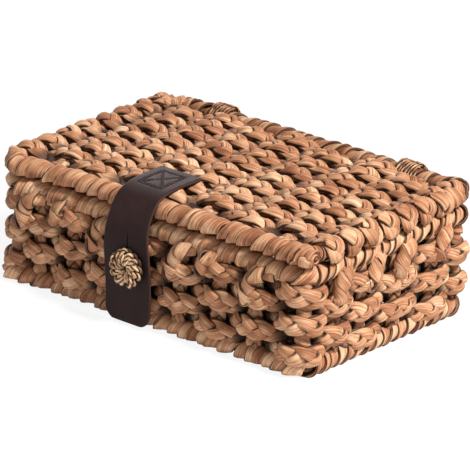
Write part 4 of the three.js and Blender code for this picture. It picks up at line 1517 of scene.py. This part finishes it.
@dataclass
class Ties:
    """The two twine hinges wound round the back rail and the top rim."""

    dresser: Dresser
    turns: int = 7
    pitch: float = 2.9
    radius: float = 11.2
    radius_uneven: float = 0.25
    stray: float = 0.35
    twine: Twine = Twine(ply_radius=0.85, lay=20.0, corners=8)

    def build(self) -> None:
        """Makes both ties."""
        surfaces = []
        for number, place in enumerate(PLAN.tie_places):
            rng = np.random.default_rng(500 + number)
            surfaces.append(self.twine.surface(self.path(place, rng), rng))
        self.dresser.series(surfaces, "hinge_tie_twine", Body.BASKET, Slot.TWINE, "hinge_tie", finish="tie")

    def path(self, place: float, rng: np.random.Generator) -> Path:
        """Line of one tie.

        Each turn is a half circle over the rail, a straight drop, a half circle under the rim and a straight
        rise, while x grows evenly.

        Args:
            place: x of the tie's middle.
            rng: Source of its unevenness.

        Returns:
            The open line.
        """
        high, low = PLAN.lid_height, PLAN.rim_height
        angle = np.concatenate([np.linspace(0, math.pi, 12), np.linspace(math.pi, TAU, 12)])
        level = np.concatenate([np.full(12, high), np.full(12, low)])
        angle, level = np.tile(angle, self.turns), np.tile(level, self.turns)
        share = np.arange(len(angle)) / (len(angle) - 1)
        radius = self.radius + self.radius_uneven * ripple(share * 100, 9.0, rng)
        stray = self.stray * ripple(share * 100, 7.0, rng)
        x = place + self.turns * self.pitch * (share - 0.5) + stray
        out = rows_of(0.0, np.cos(angle), np.sin(angle))
        point = rows_of(x, PLAN.half_width, level) + radius[:, None] * out
        ones = np.ones((len(angle), 1))
        return Path.through(np.hstack([point, out, ones, 0 * ones]), step=1.2)


@dataclass
class Knot:
    """The twine knot that the strap slips over: turns of twine round a ring, a smaller heart and a shank.

    The heart's sizes are the arguments of its winding, and the core's are those after the ring's radius.
    """

    dresser: Dresser
    x: float = -12.0
    y: float = -128.4
    z: float = 54.1
    ring_radius: float = 9.5
    wind_radius: float = 5.9
    wind_depth: float = 3.0
    turns: int = 13
    swing: float = 0.26
    swing_uneven: float = 0.08
    size_uneven: float = 0.1
    turn_points: int = 24
    heart_sizes: tuple[float, float, float, int, float] = (3.0, 1.6, 1.2, 3, 2.4)
    core_sizes: tuple[float, float, int, float] = (0.4, 0.4, 6, 0.3)
    twine: Twine = Twine(ply_radius=1.15, lay=9.0, step=0.8)
    core_twine: Twine = Twine(ply_radius=1.7, lay=14.0)
    shank: Winding = Winding(
        core_radius=0.7, lead=2.6, strands=1, half_width=1.4, half_thickness=0.7, lean=0.1, turn_points=12,
        strand_corners=8,
    )

    def build(self) -> None:
        """Makes the winding, with painted shade that grows towards its back, the core ring and the shank."""
        rng = np.random.default_rng(520)
        outer = self.winding(self.ring_radius, self.wind_radius, self.wind_depth, self.turns, 0.0, rng)
        heart = self.winding(*self.heart_sizes, rng)
        whole = Surface.joined([self.twine.surface(outer, rng), self.twine.surface(heart, rng)])
        # Painted shade that grows towards the back of the knot, so that its hollow centre looks dark.
        whole.shade = np.maximum(whole.shade, np.clip((whole.point[:, 1] - self.y + 2.6) / 4.0, 0, 1))
        core = self.core_twine.surface(self.winding(self.ring_radius, *self.core_sizes, rng), rng)
        foot = straight_path((self.x, -PLAN.half_width + 1.0, self.z), (self.x, self.y, self.z), (0, 0, 1))
        shank = self.shank.surface(foot, rng)
        for surface, name, node in (
            (whole, "knot_twine", "knot_winding"),
            (core, "knot_core_twine", "knot_core"),
            (shank, "knot_shank_twine", "knot_shank"),
        ):
            self.dresser.dress(surface, name, Body.BASKET, Slot.TWINE, [node])

    def winding(
        self, ring: float, wind: float, depth: float, turns: int, behind: float, rng: np.random.Generator
    ) -> Path:
        """Closed line that winds round a ring.

        The angle round the ring runs once while the winding angle runs through all turns, and swings a little
        with each turn, so that the loops lean over like petals.

        Args:
            ring: Radius of the ring.
            wind: How far the turns reach inwards and outwards.
            depth: How far they reach forwards and backwards.
            turns: How many turns there are.
            behind: How far the ring's middle lies behind the knot's middle.
            rng: Source of its unevenness.

        Returns:
            The line.
        """
        count = turns * self.turn_points
        share = np.linspace(0, 1, count, endpoint=False)
        wound = TAU * turns * share
        uneven = ripple(share * count, 55.0, rng, count)
        around = TAU * share + self.swing * np.sin(wound + 0.6) + self.swing_uneven * uneven
        radius = ring + wind * np.cos(wound) * (1 + self.size_uneven * uneven)
        lift = depth * np.sin(wound) * (1 + self.size_uneven * ripple(share * count, 40.0, rng, count))
        outward = rows_of(np.cos(around), 0.0, np.sin(around))
        middle = np.array([self.x, self.y + behind, self.z])
        point = middle + radius[:, None] * outward - rows_of(0.0, lift, 0.0)
        centre = middle + ring * outward
        return Path.plain(point, unit(point - centre), closed=True)


@dataclass
class Strap:
    """The leather strap: sewn flat on the lid, bent over its edge and hanging down in front.

    Its stations are y, z and half width in millimetres, from the sewn end to the tip.
    """

    dresser: Dresser
    centre: float = -15.5
    half_thickness: float = 1.5
    stations: tuple[tuple[float, float, float], ...] = (
        (-57.0, 118.8, 22.4), (-75.0, 118.4, 22.0), (-90.0, 117.6, 21.6), (-102.0, 115.6, 21.4),
        (-111.0, 111.5, 21.4), (-117.5, 104.5, 21.5), (-121.8, 96.0, 21.7), (-124.6, 86.0, 22.3),
        (-125.2, 77.0, 23.2), (-124.3, 66.0, 24.2), (-122.6, 54.0, 24.6), (-120.8, 38.0, 24.3),
        (-119.8, 22.0, 24.0), (-119.6, 2.5, 23.8),
    )
    tip_radius: float = 12.0
    end_radius: float = 2.5
    edge_width: float = 1.4
    slit_x: float = -13.5
    slit_z: float = 54.1
    slit_above: float = 31.0
    slit_below: float = 13.0
    slit_half_gap: float = 0.8
    slit_bulge: float = 1.6
    columns: int = 22
    edge_columns: tuple[float, ...] = (0.96, 0.97, 0.988, 0.997, 1.0)
    stitch_middle: float = -82.0
    stitch_half_width: float = 12.0
    stitch_half_length: float = 15.5
    stitch_length: float = 3.6
    stitch_sunk: float = 0.45
    stitch_dip: float = 0.75
    groove_depth: float = 0.9
    groove_width: float = 1.1
    thread: Twine = Twine(ply_radius=0.5, lay=3.0, step=0.45, corners=6)

    def build(self) -> None:
        """Makes the strap and its stitching."""
        strap = self.leather()
        self.dresser.cover(strap, Slot.LEATHER, ["strap_anchor", "strap_tail"])
        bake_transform(strap)
        self.dresser.dress(self.stitching(), "strap_thread", Body.LID, Slot.THREAD, ["strap_stitching"])

    def course(self) -> tuple[Array, Array, Array, Array]:
        """Middle line of the strap through its stations of y, z and half width.

        Returns:
            Its points in y and z, their outward directions in y and z, the walked distances and half widths.
        """
        rows = [(0.0, y, z, 0.0, 0.0, 1.0, reach, 0.0) for y, z, reach in self.stations]
        path = Path.through(rows, step=1.0)
        heading = heading_of(path.point, closed=False)
        outward = rows_of(heading[:, 2], -heading[:, 1])
        return path.point[:, 1:], outward, path.distance, path.girth

    def side_reach(self, walked: Array, reach: Array) -> Array:
        """Half width along the strap, rounded off at both ends."""
        near_tip = np.clip(self.tip_radius - (walked[-1] - walked), 0, self.tip_radius)
        near_end = np.clip(self.end_radius - walked, 0, self.end_radius)
        width = reach - self.tip_radius + np.sqrt(self.tip_radius**2 - near_tip**2)
        return width - self.end_radius + np.sqrt(self.end_radius**2 - near_end**2)

    def slit_gap(self, height: Array, fronted: Array) -> Array:
        """Half the opening of the slit: a narrow cut that the knot's shank holds open."""
        place = height - self.slit_z
        inside = (place > -self.slit_below) & (place < self.slit_above) & fronted
        ends = np.minimum(place + self.slit_below, self.slit_above - place)
        ease = np.clip(ends / 3.0, 0, 1)
        bulge = self.slit_bulge * np.exp(-((place / 6.0) ** 2))
        return np.where(inside, (self.slit_half_gap + bulge) * ease, 0.0)

    def stitch_depth(self, x: Array, y: Array, level: Array) -> Array:
        """How far the thread presses the leather in, from the distance to the box of stitches and its diagonals."""
        across, along = x - self.centre, y - self.stitch_middle
        w, h = self.stitch_half_width, self.stitch_half_length
        outside = np.maximum(np.abs(across) - w, np.abs(along) - h)
        diagonal = np.abs(np.abs(across) * h - np.abs(along) * w) / math.hypot(w, h)
        near = np.minimum(np.abs(outside), np.where(outside < 0, diagonal, np.inf))
        return np.where(level, self.groove_depth * np.exp(-((near / self.groove_width) ** 2)), 0.0)

    def leather(self) -> bpy.types.Object:
        """The strap's mesh.

        On each side of the slit's line the columns run evenly from the slit's edge to the strap's edge. The top
        and the underside lie half the thickness off the middle line, and meet in a quarter ellipse at the edges.
        Where the slit is closed the two halves share their points.

        Returns:
            The object.
        """
        middle, out, walked, reach = self.course()
        rows = len(walked)
        reach = self.side_reach(walked, reach)
        fronted = out[:, 0] < -0.9
        gap = self.slit_gap(middle[:, 1], fronted)
        even = np.linspace(0, 1, self.columns)
        even = np.append(even[even < self.edge_columns[0]], self.edge_columns)
        columns = len(even)
        along_edge = np.minimum(walked, walked[-1] - walked)
        along_share = np.clip(1 - along_edge / self.edge_width, 0, 1)
        points, quads, edges = [], [], []
        for side in (-1, 1):
            slit_edge = self.slit_x + side * gap
            strap_edge = self.centre + side * reach
            x = slit_edge[:, None] + (strap_edge - slit_edge)[:, None] * even[None, :]
            from_edge = np.abs(strap_edge[:, None] - x)
            share = np.maximum(np.clip(1 - from_edge / self.edge_width, 0, 1), along_share[:, None])
            thick = self.half_thickness * np.sqrt(np.clip(1 - share**2, 0, 1))
            pressed = self.stitch_depth(x, middle[:, :1], out[:, 1:] > 0.9)
            for face in (1, -1):
                lift = face * thick - (pressed if face > 0 else 0.0)
                y = middle[:, :1] + lift * out[:, :1]
                z = middle[:, 1:] + lift * out[:, 1:]
                start = sum(len(part) for part in points)
                points.append(rows_of(x, y, z).reshape(-1, 3))
                cut = np.where(gap > 0, 0.5, 0.0)[:, None] * (even[None, :] == 0)
                edges.append(np.maximum(share**2, cut).ravel())
                a = start + np.arange(rows - 1)[:, None] * columns + np.arange(columns - 1)[None, :]
                ring = [a, a + columns, a + columns + 1, a + 1]
                quads.append(rows_of(*(ring if side * face > 0 else ring[::-1])).reshape(-1, 4))
        size = rows * columns
        open_rows = np.flatnonzero((gap[:-1] > 0) | (gap[1:] > 0))
        for number, side in enumerate((-1, 1)):
            top = 2 * number * size + open_rows * columns
            wall = [top, top + columns, top + columns + size, top + size]
            quads.append(rows_of(*(wall if side < 0 else wall[::-1])))
        surface = Surface(
            np.vstack(points), np.vstack(quads), np.empty((0, 3), dtype=np.int64), np.vstack(points),
            np.full(4 * size, 0.5), np.concatenate(edges), np.zeros(4 * size),
        )
        thing = surface.to_object("strap_leather")
        weld(thing)
        return thing

    def stitching(self) -> Surface:
        """The box of stitches and its two diagonals, as short stitches of twisted thread.

        Returns:
            All stitches as one surface.
        """
        w, h = self.stitch_half_width, self.stitch_half_length
        lines = [(-w, -h, w, -h), (w, -h, w, h), (w, h, -w, h), (-w, h, -w, -h), (-w, -h, w, h), (w, -h, -w, h)]
        rng = np.random.default_rng(540)
        middle, out, _, _ = self.course()
        middle = middle[out[:, 1] > 0.3]
        dip = self.stitch_dip * np.abs(np.linspace(-1, 1, 7)) ** 3
        parts = []
        for x0, y0, x1, y1 in lines:
            length = math.hypot(x1 - x0, y1 - y0)
            count = max(2, round(length / self.stitch_length))
            for number in range(count):
                share = (number + np.linspace(0.07, 0.93, len(dip))) / count
                y = self.stitch_middle + y0 + (y1 - y0) * share
                top = np.interp(-y, -middle[:, 0], middle[:, 1]) + self.half_thickness
                point = rows_of(self.centre + x0 + (x1 - x0) * share, y, top - self.stitch_sunk - dip)
                path = Path.plain(point, np.tile([0.0, 0.0, 1.0], (len(dip), 1)))
                parts.append(self.thread.surface(path, rng))
        return Surface.joined(parts)


def weld(thing: bpy.types.Object) -> None:
    """Merges a mesh's points that coincide."""
    mesh = bmesh.new()
    mesh.from_mesh(thing.data)
    bmesh.ops.remove_doubles(mesh, verts=mesh.verts, dist=2e-6)
    bmesh.ops.dissolve_degenerate(mesh, edges=mesh.edges, dist=1e-7)
    mesh.to_mesh(thing.data)
    mesh.free()


# Camera, lights and floor


@dataclass(frozen=True)
class Studio:
    """The photograph's view, plain lights and a white ground.

    Angles are in degrees and the eye is a place of the box's plan. Each light has a name, a place in metres, the
    length of its sides and a power in watts.
    """

    azimuth: float = 38.0
    elevation: float = 20.3
    roll: float = 3.08
    lens: float = 273.5
    sensor: float = 36.0
    eye: tuple[float, float, float] = (1739.1, -2227.3, 1098.9)
    lights: tuple[tuple[str, tuple[float, float, float], float, float], ...] = (
        ("key_light", (1.85, -0.15, 2.2), 0.4, 150.0),
        ("fill_light", (-0.9, -2.2, 1.0), 0.8, 3.6),
        ("back_light", (-2.0, 1.7, 1.0), 1.2, 20.0),
    )
    target: tuple[float, float, float] = (0.0, 0.0, 0.05)
    floor_reach: float = 8.0
    paper: Colour = (0.9, 0.9, 0.9)
    white: Colour = (1.0, 1.0, 1.0)
    glow_share: float = 0.9
    ambient: float = 0.13

    def build(self) -> None:
        """Makes the camera, the lights, the floor and the world."""
        self.build_camera()
        self.build_lights()
        self.build_floor()
        self.build_world()
        bpy.context.scene.view_settings.view_transform = "Standard"

    def build_camera(self) -> None:
        """Camera at the photograph's place.

        It looks along the direction given by azimuth and elevation. Its own x and y axes are the level right
        and up directions turned by the roll.
        """
        azimuth, elevation, roll = (math.radians(a) for a in (self.azimuth, self.elevation, self.roll))
        forward = Vector((
            -math.sin(azimuth) * math.cos(elevation), math.cos(azimuth) * math.cos(elevation), -math.sin(elevation)
        ))
        right = forward.cross(Vector((0, 0, 1))).normalized()
        upward = right.cross(forward)
        side = math.cos(roll) * right + math.sin(roll) * upward
        top = -math.sin(roll) * right + math.cos(roll) * upward
        turn = Matrix((side, top, -forward)).transposed().to_4x4()
        data = bpy.data.cameras.new("view")
        data.lens, data.sensor_width = self.lens, self.sensor
        data.clip_end = 50.0
        camera = new_object("view", data)
        place = Vector((np.array(self.eye) + PLAN.shift) * MILLIMETRE)
        camera.matrix_world = Matrix.Translation(place) @ turn
        bpy.context.scene.camera = camera

    def build_lights(self) -> None:
        """Soft key light from the right, and weaker ones from the front and from behind on the left."""
        for name, place, size, power in self.lights:
            data = bpy.data.lights.new(name, "AREA")
            data.size, data.energy = size, power
            lamp = new_object(name, data)
            lamp.location = place
            lamp.rotation_euler = (Vector(self.target) - Vector(place)).to_track_quat("-Z", "Y").to_euler()

    def build_floor(self) -> None:
        """White floor that keeps a faint shadow."""
        corners = [(x * self.floor_reach, y * self.floor_reach, 0) for x, y in ((-1, -1), (1, -1), (1, 1), (-1, 1))]
        mesh = bpy.data.meshes.new("floor")
        mesh.from_pydata(corners, [], [(0, 1, 2, 3)])
        floor = new_object("floor", mesh)
        material, nodes = new_material("white_floor")
        paper = nodes.add("ShaderNodeBsdfDiffuse", None, Color=opaque(self.paper))
        glow = nodes.add("ShaderNodeEmission", None, Color=opaque(self.white), Strength=1.0)
        share = nodes.math("MULTIPLY", self.seen_directly(nodes), self.glow_share)
        nodes.add("ShaderNodeOutputMaterial", None, Surface=nodes.between(share, paper, glow))
        mesh.materials.append(material)

    @staticmethod
    def seen_directly(nodes: Nodes) -> Socket:
        """One for rays from the camera or off and through shiny things, otherwise zero."""
        rays = nodes.add("ShaderNodeLightPath").outputs
        shiny = nodes.math("MAXIMUM", rays["Is Glossy Ray"], rays["Is Transmission Ray"])
        return nodes.math("MAXIMUM", rays["Is Camera Ray"], shiny)

    def build_world(self) -> None:
        """Plain ambient light, white where the camera sees it."""
        world = bpy.data.worlds.new("studio")
        bpy.context.scene.world = world
        world.use_nodes = True
        nodes = Nodes(world.node_tree)
        ambient, white = (
            nodes.add("ShaderNodeBackground", None, Color=opaque(self.white), Strength=strength)
            for strength in (self.ambient, 1.0)
        )
        nodes.add("ShaderNodeOutputWorld", None, Surface=nodes.between(self.seen_directly(nodes), ambient, white))


def main() -> None:
    """Builds the box and its studio."""
    logging.basicConfig(level=logging.INFO, format="%(message)s")
    Studio().build()
    dresser = Dresser(Finishes())
    for part in (Basket(dresser), Lid(dresser), Ties(dresser), Knot(dresser), Strap(dresser)):
        part.build()
        LOG.info("%s done", type(part).__name__)
    LOG.info("%d pieces", dresser.pieces)


if __name__ == "__main__":
    main()
